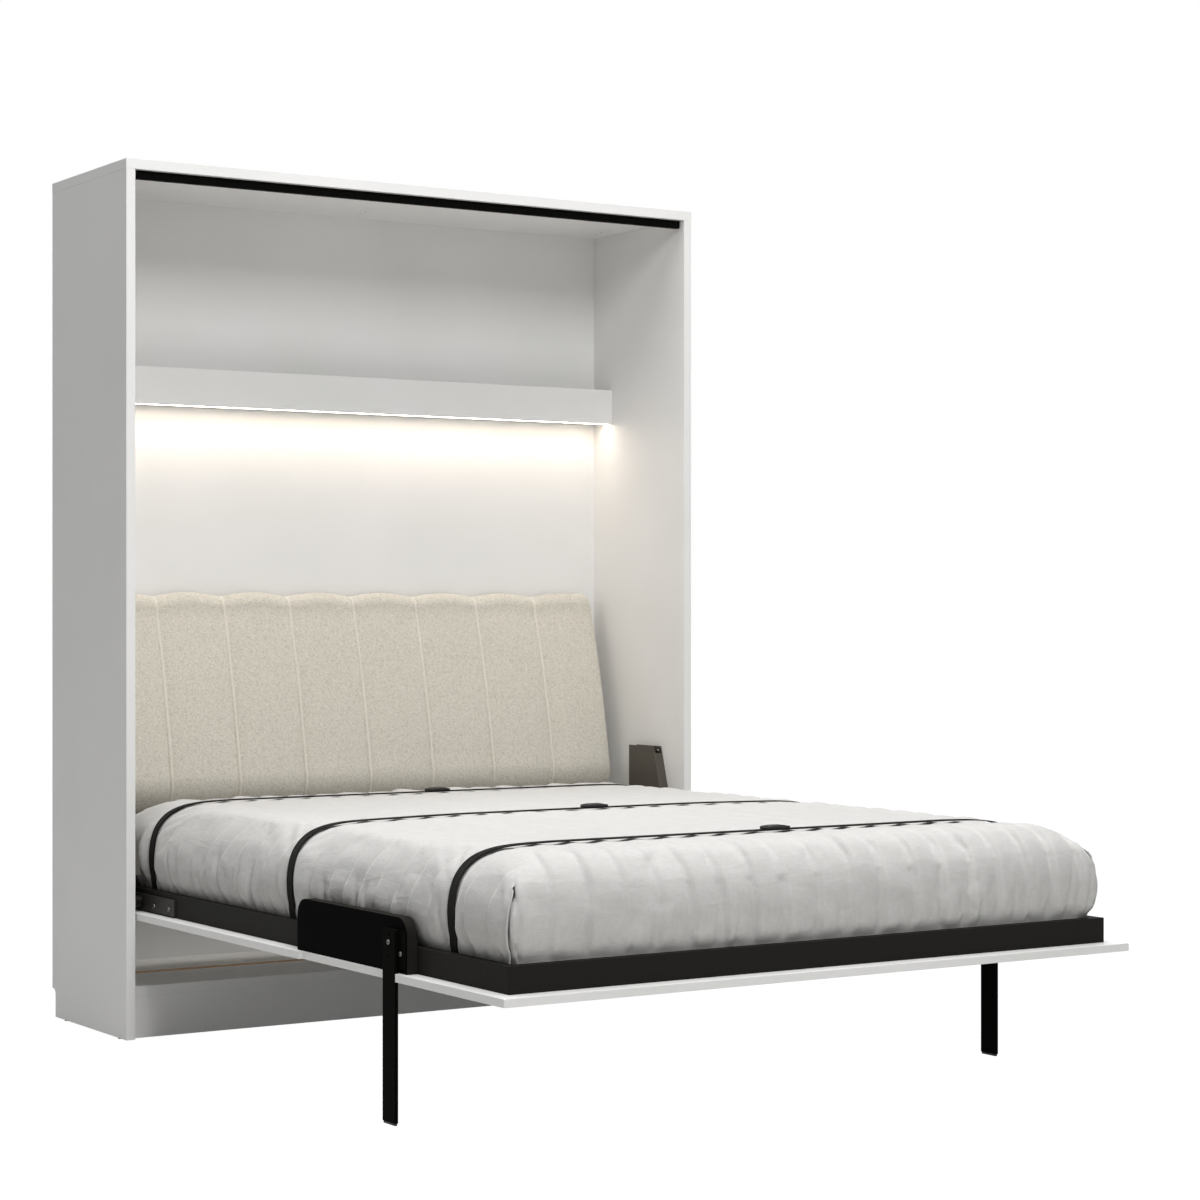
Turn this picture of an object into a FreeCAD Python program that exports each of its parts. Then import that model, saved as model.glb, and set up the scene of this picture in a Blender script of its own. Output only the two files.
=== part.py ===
# Wall bed: a tall cabinet whose front panel folds down and carries a double bed.
# Lengths are millimetres. X runs across the bed, Y from its foot to the wall, Z up.
# The origin lies on the floor, in the middle of the bed and cabinet with the bed down.

import FreeCAD, Part
import math
import os
import Sketcher
from FreeCAD import Placement, Rotation, Vector

# Sizes of the cabinet
CABINET_SIZES = [
    ("cab_width", 1750.0),
    ("cab_depth", 505.0),
    ("cab_height", 2252.0),
    ("board", 25.0),
    ("glide_height", 3.5),
    ("glide_radius", 9.0),
    ("glide_setback", 60.0),
    ("skirting_depth", 22.4),
    ("skirting_height", 79.0),
    ("skirting_radius", 15.0),
    ("back_sheet", 5.0),
    ("wall_rail_thick", 18.0),
    ("wall_rail_height", 100.0),
    ("wall_hole_radius", 4.0),
    ("wall_hole_inset", 175.0),
    ("wall_hole_rise", 50.0),
    ("plinth_setback", 22.6),
    ("plinth_height", 111.0),
    ("lining_front", 258.0),
    ("lining_thick", 5.0),
    ("stop_gap", 1.5),
    ("stop_thick", 18.0),
    ("stop_drop", 22.0),
    ("stop_end_gap", 2.0),
    ("ledge_front", 381.0),
    ("ledge_bottom", 1660.0),
    ("ledge_height", 101.0),
    ("ledge_board", 18.0),
    ("led_width", 17.0),
    ("led_height", 8.0),
    ("led_wall", 1.2),
    ("led_cover", 1.5),
    ("fitting_radius", 5.0),
    ("fitting_depth", 12.0),
    ("fitting_pitch", 32.0),
    ("fitting_side_inset", 54.0),
    ("fitting_front", 356.5),
    ("fitting_recess", 0.6),
    ("fitting_clearance", 0.1),
]

# Sizes of the padded headboard
HEADBOARD_SIZES = [
    ("head_side_gap", 43.0),
    ("head_bottom", 550.0),
    ("head_height", 600.0),
    ("head_depth", 156.0),
    ("head_backing", 12.0),
    ("head_backing_inset", 12.0),
    ("head_seam_dip", 13.0),
    ("head_seam_draw", 8.0),
    ("head_end_round", 30.0),
    ("head_end_dip", 30.0),
    ("head_end_draw", 14.0),
]

# Sizes of the lift brackets, pivots and gas struts
LIFT_SIZES = [
    ("pivot_depth", 44.4),
    ("pivot_radius", 7.0),
    ("pivot_play", 0.05),
    ("boss_radius", 15.0),
    ("boss_lever_gap", 3.0),
    ("bracket_sheet", 3.0),
    ("bracket_depth", 30.0),
    ("bracket_top", 702.0),
    ("bracket_rear_depth", 244.0),
    ("bracket_top_front", 117.0),
    ("bracket_low_front", 24.0),
    ("bracket_bend_height", 382.0),
    ("bracket_cover_bottom", 420.0),
    ("bracket_bottom", 312.0),
    ("bracket_toe", 100.0),
    ("bracket_heel", 440.0),
    ("bracket_notch", 20.0),
    ("bracket_bolt_radius", 6.0),
    ("bracket_bolt_head", 4.0),
    ("bracket_bolt_inset", 14.0),
    ("strut_pin_depth", 160.0),
    ("strut_pin_height", 665.0),
    ("strut_pin_radius", 4.0),
    ("strut_radius", 9.0),
    ("strut_length", 240.0),
    ("strut_eye_thick", 12.0),
    ("strut_rod_radius", 4.0),
    ("strut_rod_seat", 120.0),
    ("strut_rod_end_radius", 8.0),
    ("strut_bore_extra", 5.0),
    ("stud_gap", 0.4),
    ("lever_arm", 80.0),
    ("lever_thick", 5.0),
    ("lever_drop", 22.5),
    ("lever_rise", 19.1),
    ("lever_end", 20.0),
    ("lever_front", 157.0),
    ("lever_corner", 3.0),
    ("lever_bolt_near", 35.0),
    ("lever_bolt_far", 127.0),
    ("lever_bolt_drop", 6.4),
    ("bolt_radius", 4.0),
    ("bolt_head_radius", 6.0),
    ("bolt_head", 3.0),
    ("bolt_play", 0.05),
]

# Sizes of the bed base that folds down
BED_SIZES = [
    ("panel_underside", 307.5),
    ("panel_board", 18.0),
    ("panel_side_gap", 4.3),
    ("panel_top_gap", 3.0),
    ("panel_head", 252.0),
    ("panel_seam", 318.0),
    ("panel_joint", 0.5),
    ("panel_notch_near", 915.0),
    ("panel_notch_far", 1375.0),
    ("panel_notch_depth", 10.7),
    ("rail_side_gap", 41.3),
    ("rail_foot_inset", 44.0),
    ("rail_head", 252.0),
    ("head_plate", 3.0),
    ("rail_width", 25.0),
    ("rail_height", 57.5),
    ("rail_wall", 1.5),
    ("slat_rise", 19.5),
    ("slat_thick", 8.0),
    ("slat_width", 53.0),
    ("slat_end_gap", 6.0),
    ("slat_side_gap", 4.0),
    ("slat_ledge", 30.0),
    ("slat_ledge_sheet", 3.0),
    ("beam_width", 40.0),
    ("mattress_side_gap", 33.7),
    ("mattress_head_gap", 3.7),
    ("mattress_height", 222.0),
    ("mattress_foot_gap", 4.0),
    ("mattress_corner", 70.0),
    ("mattress_radius", 60.0),
    ("quilt_side_gap", 3.2),
    ("quilt_end_gap", 0.5),
    ("quilt_corner", 70.0),
    ("quilt_top", 604.0),
    ("quilt_bottom_gap", 4.0),
    ("soft_gap", 0.3),
    ("strap_thick", 1.8),
    ("strap_width", 28.0),
    ("buckle_length", 71.0),
    ("buckle_width", 34.0),
    ("buckle_height", 9.0),
    ("buckle_window", 24.0),
    ("buckle_place", 50.0),
]

# Sizes of the fold-out legs and their boards
LEG_SIZES = [
    ("leg_board_near", 888.0),
    ("leg_board_far", 1406.5),
    ("leg_board_height", 119.5),
    ("leg_board_thick", 25.0),
    ("leg_board_radius", 40.0),
    ("leg_plate", 2.0),
    ("leg_plate_near", 1318.0),
    ("leg_plate_far", 1403.0),
    ("leg_plate_low", 336.0),
    ("leg_width", 54.4),
    ("leg_thick", 8.6),
    ("leg_gap", 0.2),
    ("leg_top", 419.0),
    ("leg_corner", 6.0),
    ("leg_pivot_place", 1344.0),
    ("leg_pivot_height", 390.0),
    ("leg_slot_rise", 16.0),
    ("leg_slot_radius", 3.0),
    ("leg_hole_drop", 28.0),
    ("leg_hole_radius", 2.6),
    ("leg_pad_height", 5.0),
    ("leg_pad_inset", 1.5),
    ("leg_bolt_across", 37.5),
    ("leg_bolt_drop", 22.5),
    ("leg_bolt_reach", 20.0),
    ("leg_bolt_gap", 0.2),
]

CHANNELS = 8
SLATS = 13

doc = FreeCAD.newDocument("wall_bed")
sheet = doc.addObject("Spreadsheet::Sheet", "Sizes")
ALL_SIZES = CABINET_SIZES + HEADBOARD_SIZES + LIFT_SIZES + BED_SIZES + LEG_SIZES
for row, (alias, value) in enumerate(ALL_SIZES, start=1):
    sheet.set(f"A{row}", alias)
    sheet.set(f"B{row}", str(value))
    sheet.setAlias(f"B{row}", alias)
doc.recompute()


class Size:
    """A length with the sheet formula that it comes from."""

    def __init__(self, number, formula):
        self.number = number
        self.formula = formula

    def __add__(self, other):
        other = as_size(other)
        return Size(self.number + other.number, f"({self.formula} + {other.formula})")

    def __radd__(self, other):
        return as_size(other) + self

    def __sub__(self, other):
        other = as_size(other)
        return Size(self.number - other.number, f"({self.formula} - {other.formula})")

    def __rsub__(self, other):
        return as_size(other) - self

    def __mul__(self, other):
        other = as_size(other)
        return Size(self.number * other.number, f"({self.formula} * {other.formula})")

    def __rmul__(self, other):
        return as_size(other) * self

    def __truediv__(self, other):
        other = as_size(other)
        return Size(self.number / other.number, f"({self.formula} / {other.formula})")

    def __neg__(self):
        return Size(-self.number, f"(0 - {self.formula})")

    def __float__(self):
        return float(self.number)


def as_size(value):
    """Return a Size for a plain number, and a Size as it is."""
    if isinstance(value, Size):
        return value
    return Size(float(value), f"({float(value)!r})")


def cell(alias):
    """Return the Size of one cell of the sheet."""
    return Size(float(sheet.get(alias)), f"Sizes.{alias}")


def root_of_squares(first, second):
    """Return the long side of a right-angled triangle."""
    number = math.hypot(float(first), float(second))
    return Size(number, f"sqrt({first.formula} ^ 2 + {second.formula} ^ 2)")


def angle_of(opposite, adjacent):
    """Return the angle of a right-angled triangle in degrees."""
    number = math.degrees(math.atan2(float(opposite), float(adjacent)))
    return Size(number, f"atan2({opposite.formula}; {adjacent.formula})")


def vector(x, y, z):
    """Return a vector of plain numbers."""
    return Vector(float(x), float(y), float(z))


def bind(item, name, value):
    """Tie one property of an object to its formula."""
    item.setExpression(name, as_size(value).formula)


nodes = []


def keep(item, label):
    """Name an object as a piece that is written to its own file."""
    item.Label = label
    nodes.append(item)
    return item


def place(item, x, y, z):
    """Tie an object's position to its formulas."""
    bind(item, "Placement.Base.x", x)
    bind(item, "Placement.Base.y", y)
    bind(item, "Placement.Base.z", z)


def box(name, x, y, z, length, width, height):
    """Return a box that starts at x, y, z."""
    item = doc.addObject("Part::Box", name)
    bind(item, "Length", length)
    bind(item, "Width", width)
    bind(item, "Height", height)
    place(item, x, y, z)
    return item


def cylinder(name, x, y, z, radius, length, axis):
    """Return a cylinder that starts at x, y, z and runs along X or Z."""
    item = doc.addObject("Part::Cylinder", name)
    bind(item, "Radius", radius)
    bind(item, "Height", length)
    if axis == "x":
        item.Placement = Placement(Vector(), Rotation(Vector(0, 1, 0), 90))
    place(item, x, y, z)
    return item


def cut(name, base, tool):
    """Return one object less another."""
    item = doc.addObject("Part::Cut", name)
    item.Base = base
    item.Tool = tool
    return item


def group(name, members):
    """Return separate solids held as one piece."""
    item = doc.addObject("Part::Compound", name)
    item.Links = members
    return item


def fuse(name, members):
    """Return solids joined into one."""
    item = doc.addObject("Part::MultiFuse", name)
    item.Shapes = members
    return item


def mirror(name, source):
    """Return the right-hand twin of a left-hand piece."""
    item = doc.addObject("Part::Mirroring", name)
    item.Source = source
    item.Base = Vector(0, 0, 0)
    item.Normal = Vector(1, 0, 0)
    return item


def keep_both_sides(members, label):
    """Keep a left-hand set of small pieces and its right-hand twin as one group."""
    left_set = group(f"{label}_left", members)
    keep(group(f"{label}_set", [left_set, mirror(f"{label}_right", left_set)]), label)


def body(name):
    """Return an empty body."""
    return doc.addObject("PartDesign::Body", name)


def sketch(owner, name, role, offset, outlines, circles=()):
    """Return a sketch on one of the body's own planes, with every point tied to its formulas."""
    item = owner.newObject("Sketcher::SketchObject", name)
    plane = next(part for part in owner.Origin.OriginFeatures if part.Role == role)
    item.AttachmentSupport = [(plane, "")]
    item.MapMode = "FlatFace"
    bind(item, "AttachmentOffset.Base.z", offset)
    for outline in outlines:
        first = item.GeometryCount
        count = len(outline)
        for place_in, point in enumerate(outline):
            after = outline[(place_in + 1) % count]
            item.addGeometry(Part.LineSegment(vector(point[0], point[1], 0), vector(after[0], after[1], 0)))
        for place_in in range(count):
            after = first + (place_in + 1) % count
            item.addConstraint(Sketcher.Constraint("Coincident", first + place_in, 2, after, 1))
        for place_in, point in enumerate(outline):
            hold(item, "DistanceX", first + place_in, 1, point[0])
            hold(item, "DistanceY", first + place_in, 1, point[1])
    for across, up, radius in circles:
        centre = vector(across, up, 0)
        number = item.addGeometry(Part.Circle(centre, Vector(0, 0, 1), float(radius)))
        hold(item, "DistanceX", number, 3, across)
        hold(item, "DistanceY", number, 3, up)
        spot = item.addConstraint(Sketcher.Constraint("Radius", number, float(radius)))
        bind(item, f"Constraints[{spot}]", radius)
    return item


def hold(item, kind, number, end, value):
    """Tie one coordinate of a sketch point to its formula."""
    spot = item.addConstraint(Sketcher.Constraint(kind, -1, 1, number, end, float(value)))
    bind(item, f"Constraints[{spot}]", value)


def pad(owner, profile, length, backwards=False):
    """Raise a sketch into the body."""
    item = owner.newObject("PartDesign::Pad", f"{profile.Name}_pad")
    item.Profile = profile
    bind(item, "Length", length)
    item.Reversed = backwards
    profile.Visibility = False
    owner.Tip = item
    return item


def pocket(owner, profile, length, forwards=False):
    """Cut a sketch out of the body and check that it removed something."""
    doc.recompute()
    before = owner.Shape.Volume
    item = owner.newObject("PartDesign::Pocket", f"{profile.Name}_pocket")
    item.Profile = profile
    bind(item, "Length", length)
    item.Reversed = forwards
    owner.Tip = item
    doc.recompute()
    if not owner.Shape.Volume < before:
        raise RuntimeError(f"{item.Name} cuts nothing")
    return item


def round_corners(owner, axis, corners, radius):
    """Round the edges that run along one axis through the given corners."""
    doc.recompute()
    base = owner.Tip
    first, second = [number for number in range(3) if number != "xyz".index(axis)]
    names = []
    for number, edge in enumerate(base.Shape.Edges, start=1):
        ends = [vertex.Point for vertex in edge.Vertexes]
        for corner in corners:
            near = [
                abs(end[first] - float(corner[0])) + abs(end[second] - float(corner[1])) < float(touch)
                for end in ends
            ]
            if len(ends) == 2 and all(near):
                names.append(f"Edge{number}")
    if len(names) != len(corners):
        raise RuntimeError(f"{owner.Name}: {len(names)} edges found for {len(corners)} corners")
    item = owner.newObject("PartDesign::Fillet", f"{owner.Name}_round")
    item.Base = (base, names)
    bind(item, "Radius", radius)
    owner.Tip = item
    return item


def plate(name, role, offset, outline, thick, circles=()):
    """Return a body padded from one outline with round holes."""
    owner = body(name)
    pad(owner, sketch(owner, f"{name}_outline", role, offset, [outline], circles), thick)
    return owner


# Shared places
cab_width = cell("cab_width")
cab_depth = cell("cab_depth")
cab_height = cell("cab_height")
board = cell("board")
touch = board / 1000
half = cab_width / 2
inner = half - board
top_under = cab_height - board
pivot_depth = cell("pivot_depth")
panel_underside = cell("panel_underside")
pivot_z = panel_underside + pivot_depth
reach = top_under - cell("panel_top_gap") - pivot_z - pivot_depth
front = (reach - cab_depth) / 2
rear = front + cab_depth
back_front = rear - cell("wall_rail_thick") - cell("back_sheet")
pivot_y = front + pivot_depth
foot = front - reach

# Side panels, cut out at the back of the foot for the room's skirting board
glide_height = cell("glide_height")
skirting_front = rear - cell("skirting_depth")
skirting_top = cell("skirting_height")
side_outline = [
    (front, glide_height),
    (skirting_front, glide_height),
    (skirting_front, skirting_top),
    (rear, skirting_top),
    (rear, top_under),
    (front, top_under),
]
left_side = plate("left_side_panel", "YZ_Plane", -half, side_outline, board)
round_corners(left_side, "x", [(skirting_front, skirting_top)], cell("skirting_radius"))
keep(left_side, "left_side_panel")
keep(mirror("right_side", left_side), "right_side_panel")

# Top panel over the side panels, with pairs of joint fittings let into its underside
fitting_radius = cell("fitting_radius")
fitting_y = front + cell("fitting_front")
fitting_side = inner - cell("fitting_side_inset")
fitting_spots = []
for across in (-fitting_side, as_size(0), fitting_side):
    fitting_spots.append((across, fitting_y))
    fitting_spots.append((across, fitting_y + cell("fitting_pitch")))
top_outline = [(-half, front), (half, front), (half, rear), (-half, rear)]
top_panel = plate("top_panel", "XY_Plane", top_under, top_outline, board)
fitting_holes = [(across, along, fitting_radius) for across, along in fitting_spots]
fitting_sketch = sketch(top_panel, "fitting_holes", "XY_Plane", top_under, [], fitting_holes)
pocket(top_panel, fitting_sketch, cell("fitting_depth"), forwards=True)
keep(top_panel, "top_panel")

fittings = []
for number, (across, along) in enumerate(fitting_spots, start=1):
    fittings.append(cylinder(
        f"fitting_{number}",
        across,
        along,
        top_under + cell("fitting_recess"),
        fitting_radius - cell("fitting_clearance"),
        cell("fitting_depth") - cell("fitting_recess"),
        "z",
    ))
keep(group("fittings", fittings), "top_panel_fittings")

# Back panel and the two rails behind it that take the wall screws
plinth_top = cell("plinth_height")
ledge_bottom = cell("ledge_bottom")
shelf_under = ledge_bottom + cell("led_height")
rail_thick = cell("wall_rail_thick")
rail_tall = cell("wall_rail_height")
upper_rail_z = shelf_under
lower_rail_z = plinth_top + board
hole_x = inner - cell("wall_hole_inset")
hole_rise = cell("wall_hole_rise")
hole_radius = cell("wall_hole_radius")
upper_hole_z = upper_rail_z + hole_rise
lower_hole_z = lower_rail_z + hole_rise
upper_holes = [(-hole_x, upper_hole_z, hole_radius), (hole_x, upper_hole_z, hole_radius)]
lower_holes = [(-hole_x, lower_hole_z, hole_radius), (hole_x, lower_hole_z, hole_radius)]


def across_sheet(low, high):
    """Return the outline of a sheet between the side panels."""
    return [(-inner, low), (inner, low), (inner, high), (-inner, high)]


back_panel = plate(
    "back_panel",
    "XZ_Plane",
    -(rear - rail_thick),
    across_sheet(plinth_top, top_under),
    cell("back_sheet"),
    upper_holes + lower_holes,
)
keep(back_panel, "back_panel")
for name, low, holes in (
    ("wall_rail_upper", upper_rail_z, upper_holes),
    ("wall_rail_lower", lower_rail_z, lower_holes),
):
    wall_rail = plate(name, "XZ_Plane", -rear, across_sheet(low, low + rail_tall), rail_thick, holes)
    keep(wall_rail, name)

# Floor of the cabinet on a front and a rear plinth, with a thin lining sheet at its back
plinth_front = front + cell("plinth_setback")
inner_width = inner * 2
keep(box(
    "front_plinth", -inner, plinth_front, glide_height,
    inner_width, board, plinth_top - glide_height,
), "front_plinth_board")
keep(box(
    "rear_plinth", -inner, back_front - board, glide_height,
    inner_width, board, plinth_top - glide_height,
), "rear_plinth_board")
keep(box(
    "floor", -inner, plinth_front, plinth_top,
    inner_width, back_front - plinth_front, board,
), "bottom_board")
lining_y = front + cell("lining_front")
keep(box(
    "lining", -inner, lining_y, plinth_top + board,
    inner_width, back_front - lining_y, cell("lining_thick"),
), "bottom_lining_sheet")

# Glides under the side panels
glide_x = half - board / 2
glide_setback = cell("glide_setback")
glides = []
for number, (across, along) in enumerate((
    (-glide_x, front + glide_setback),
    (-glide_x, skirting_front - glide_setback),
    (glide_x, front + glide_setback),
    (glide_x, skirting_front - glide_setback),
), start=1):
    glides.append(cylinder(f"glide_{number}", across, along, 0, cell("glide_radius"), glide_height, "z"))
keep(group("glides", glides), "floor_glides")

# Black strip under the top panel that the closed front panel rests against
stop_half = inner - cell("stop_end_gap")
keep(box(
    "stop", -stop_half, front + cell("panel_board") + cell("stop_gap"), top_under - cell("stop_drop"),
    stop_half * 2, cell("stop_thick"), cell("stop_drop"),
), "stop_strip")

# Ledge shelf with a light strip behind its front board
ledge_y = front + cell("ledge_front")
ledge_board = cell("ledge_board")
shelf_y = ledge_y + ledge_board
keep(box(
    "ledge_front_board", -inner, ledge_y, ledge_bottom,
    inner_width, ledge_board, cell("ledge_height"),
), "ledge_front_board")
keep(box(
    "ledge_shelf", -inner, shelf_y, shelf_under,
    inner_width, back_front - shelf_y, ledge_board,
), "ledge_shelf_board")
led_width = cell("led_width")
led_wall = cell("led_wall")
led_cover = cell("led_cover")
led_profile = body("led_profile")
led_outline = [
    (shelf_y, ledge_bottom),
    (shelf_y + led_wall, ledge_bottom),
    (shelf_y + led_wall, shelf_under - led_wall),
    (shelf_y + led_width - led_wall, shelf_under - led_wall),
    (shelf_y + led_width - led_wall, ledge_bottom),
    (shelf_y + led_width, ledge_bottom),
    (shelf_y + led_width, shelf_under),
    (shelf_y, shelf_under),
]
pad(led_profile, sketch(led_profile, "led_outline", "YZ_Plane", -inner, [led_outline]), inner_width)
keep(led_profile, "led_profile")
keep(box(
    "led_cover", -inner, shelf_y + led_wall, ledge_bottom,
    inner_width, led_width - led_wall * 2, led_cover,
), "led_diffuser")

# Headboard: a backing board and one long cushion sewn into upright channels
head_half = inner - cell("head_side_gap")
head_bottom = cell("head_bottom")
head_height = cell("head_height")
head_depth = cell("head_depth")
head_back = back_front - cell("head_backing")
backing_inset = cell("head_backing_inset")
keep(box(
    "head_backing", -(head_half - backing_inset), head_back, head_bottom + backing_inset,
    (head_half - backing_inset) * 2, cell("head_backing"), head_height - cell("head_end_dip") - backing_inset,
), "headboard_backing")

# The cushion's front in shares of its depth and height, from the top down
HEAD_TOP_SHARES = [(0.125, 1.0), (0.22, 0.985), (0.29, 0.934)]
HEAD_FACE_SHARES = [(0.29, 0.934), (0.635, 0.61), (0.955, 0.2)]
HEAD_FOOT_SHARES = [(0.955, 0.2), (0.965, 0.08), (0.77, 0.0)]

# Places across one channel, with the share of the seams' depth that is left there
ROLL_SHARES = [(0.0, 1.0), (0.07, 0.66), (0.25, 0.2), (0.5, 0.0), (0.75, 0.2), (0.93, 0.66), (1.0, 1.0)]


def head_section(across, draw, dip):
    """Return the cushion's upright outline at one place across it."""
    deep = float(head_depth - draw)
    tall = float(head_height - dip)

    def point(shares):
        depth_share, height_share = shares
        return vector(across, head_back - depth_share * deep, head_bottom + height_share * tall)

    top_back = point((0.0, 1.0))
    low_back = point((0.0, 0.0))
    arcs = [
        Part.Arc(point(shares[0]), point(shares[1]), point(shares[2])).toShape()
        for shares in (HEAD_TOP_SHARES, HEAD_FACE_SHARES, HEAD_FOOT_SHARES)
    ]
    lines = [
        Part.makeLine(top_back, point(HEAD_TOP_SHARES[0])),
        Part.makeLine(point(HEAD_FOOT_SHARES[-1]), low_back),
        Part.makeLine(low_back, top_back),
    ]
    return Part.Wire([lines[0]] + arcs + lines[1:])


channel = head_half * 2 / CHANNELS
seam_draw = cell("head_seam_draw")
seam_dip = cell("head_seam_dip")
end_round = cell("head_end_round")
rolls = []
for number in range(CHANNELS):
    start = -head_half + channel * number
    stop = start + channel
    sections = []
    if number == 0:
        sections.append(head_section(start, cell("head_end_draw"), cell("head_end_dip")))
        start = start + end_round
    if number == CHANNELS - 1:
        stop = stop - end_round
    for across_share, seam_share in ROLL_SHARES:
        across = start + (stop - start) * across_share
        sections.append(head_section(across, seam_draw * seam_share, seam_dip * seam_share))
    if number == CHANNELS - 1:
        sections.append(head_section(stop + end_round, cell("head_end_draw"), cell("head_end_dip")))
    rolls.append(Part.makeLoft(sections, True, True))
headboard = doc.addObject("Part::Feature", "headboard")
headboard.Shape = rolls[0].multiFuse(rolls[1:])
keep(headboard, "headboard_cushion")

# Lift brackets: a wall plate folded into a channel that shields the gas strut
sheet_thick = cell("bracket_sheet")
bracket_top = cell("bracket_top")
bracket_rear = front + cell("bracket_rear_depth")
bracket_top_front = front + cell("bracket_top_front")
bracket_low_front = front + cell("bracket_low_front")
bend_z = cell("bracket_bend_height")
cover_z = cell("bracket_cover_bottom")
edge_slope = (bracket_top_front - bracket_low_front) / (bracket_top - bend_z)
cover_low_front = bracket_low_front + edge_slope * (cover_z - bend_z)
notch_z = bracket_top - cell("bracket_notch")
notch_front = bracket_top_front - edge_slope * cell("bracket_notch")
wall_outline = [
    (bracket_top_front, bracket_top),
    (bracket_rear, bracket_top),
    (bracket_rear, cell("bracket_heel")),
    (front + cell("bracket_toe"), cell("bracket_bottom")),
    (bracket_low_front, cell("bracket_bottom")),
    (bracket_low_front, bend_z),
]
bracket_depth = cell("bracket_depth")
bolt_inset = cell("bracket_bolt_inset")
left_bracket = plate("left_lift_bracket", "YZ_Plane", -inner, wall_outline, sheet_thick)
channel_outline = [
    (bracket_top_front, bracket_top),
    (bracket_rear, bracket_top),
    (bracket_rear, cover_z),
    (cover_low_front, cover_z),
]
channel_sketch = sketch(left_bracket, "channel_outline", "YZ_Plane", -inner + sheet_thick, [channel_outline])
pad(left_bracket, channel_sketch, bracket_depth - sheet_thick)
fold = sheet_thick * 1.1
overrun = cell("board")
hollow_outline = [
    (bracket_top_front + fold + edge_slope * overrun, bracket_top + overrun),
    (bracket_rear + overrun, bracket_top + overrun),
    (bracket_rear + overrun, cover_z - overrun),
    (cover_low_front + fold - edge_slope * overrun, cover_z - overrun),
]
hollow_sketch = sketch(left_bracket, "hollow_outline", "YZ_Plane", -inner + sheet_thick, [hollow_outline])
pocket(left_bracket, hollow_sketch, bracket_depth - sheet_thick * 2, forwards=True)
relief_outline = [
    (bracket_top_front - overrun, bracket_top + overrun),
    (bracket_top_front + fold + edge_slope * overrun, bracket_top + overrun),
    (notch_front + fold, notch_z),
    (notch_front - overrun, notch_z),
]
relief_sketch = sketch(left_bracket, "relief_outline", "YZ_Plane", -inner + sheet_thick, [relief_outline])
pocket(left_bracket, relief_sketch, bracket_depth - sheet_thick * 2, forwards=True)
keep(left_bracket, "left_lift_bracket")
keep(mirror("right_bracket", left_bracket), "right_lift_bracket")

bracket_bolts = []
for number, (along, up) in enumerate((
    (bracket_top_front + bolt_inset, bracket_top - bolt_inset),
    (bracket_rear - bolt_inset, bracket_top - bolt_inset),
    (bracket_rear - bolt_inset, cell("bracket_heel") + bolt_inset),
    (bracket_low_front + bolt_inset * 2, bend_z + bolt_inset * 2),
), start=1):
    bracket_bolts.append(cylinder(
        f"bracket_bolt_{number}", -inner + sheet_thick, along, up,
        cell("bracket_bolt_radius"), cell("bracket_bolt_head"), "x",
    ))
keep_both_sides(bracket_bolts, "lift_bracket_bolts")

# Pivots: a boss on the bracket's wall plate with a pin that carries the bed's lever
rail_out = inner - cell("rail_side_gap")
rail_width = cell("rail_width")
lever_thick = cell("lever_thick")
lever_out = rail_out + lever_thick
boss_end = lever_out + cell("boss_lever_gap")
plate_face = inner - sheet_thick
boss = cylinder("pivot_boss", -plate_face, pivot_y, pivot_z, cell("boss_radius"), plate_face - boss_end, "x")
pin_length = plate_face - rail_out - cell("stud_gap")
pin = cylinder("pivot_pin", -plate_face, pivot_y, pivot_z, cell("pivot_radius"), pin_length, "x")
keep(fuse("left_pivot", [boss, pin]), "left_pivot_pin")
keep(mirror("right_pivot", doc.getObject("left_pivot")), "right_pivot_pin")

# Gas struts, each hung from a pin across its bracket, with a rod that seats beside the lever
strut_pin_y = front + cell("strut_pin_depth")
strut_pin_z = cell("strut_pin_height")
cover_face = inner - bracket_depth + sheet_thick
strut_x = (plate_face + cover_face) / 2
strut_pin_radius = cell("strut_pin_radius")
keep(cylinder(
    "strut_pin", -plate_face, strut_pin_y, strut_pin_z,
    strut_pin_radius, plate_face - cover_face, "x",
), "left_strut_pin")
keep(mirror("right_strut_pin_twin", doc.getObject("strut_pin")), "right_strut_pin")

lever_arm = cell("lever_arm")
stud_y = pivot_y + lever_arm
strut_drop = strut_pin_z - pivot_z
strut_lean = strut_pin_y - stud_y
strut_reach = root_of_squares(strut_drop, strut_lean)
strut_radius = cell("strut_radius")
strut_length = cell("strut_length")
strut_eye = cell("strut_eye_thick")
rod_radius = cell("strut_rod_radius")
rod_seat = cell("strut_rod_seat")
play = cell("pivot_play")


strut_angle = angle_of(strut_lean, strut_drop)


def lean(item):
    """Hang a strut piece from the bracket's pin, turned towards the lever."""
    item.Placement = Placement(Vector(), Rotation(Vector(-1, 0, 0), float(strut_angle)))
    bind(item, "Placement.Rotation.Angle", strut_angle)
    place(item, -strut_x, strut_pin_y, strut_pin_z)


tube = cylinder("strut_tube", 0, 0, -strut_length, strut_radius, strut_length - strut_radius, "z")
eye = cylinder("strut_eye", -strut_eye / 2, 0, 0, strut_radius, strut_eye, "x")
neck = box(
    "strut_neck", -strut_eye / 2, -strut_radius / 2, -strut_radius * 1.2,
    strut_eye, strut_radius, strut_radius * 1.2,
)
tube_solid = fuse("strut_outer", [tube, neck, eye])
bore_depth = rod_seat + cell("strut_bore_extra")
bore = cylinder("strut_bore", 0, 0, -strut_length, rod_radius + play, bore_depth, "z")
eye_hole = cylinder("strut_eye_hole", -strut_eye, 0, 0, strut_pin_radius + play, strut_eye * 2, "x")
strut_cylinder = cut("left_strut_cylinder", tube_solid, fuse("strut_holes", [bore, eye_hole]))
lean(strut_cylinder)
keep(strut_cylinder, "left_strut_cylinder")
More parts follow.
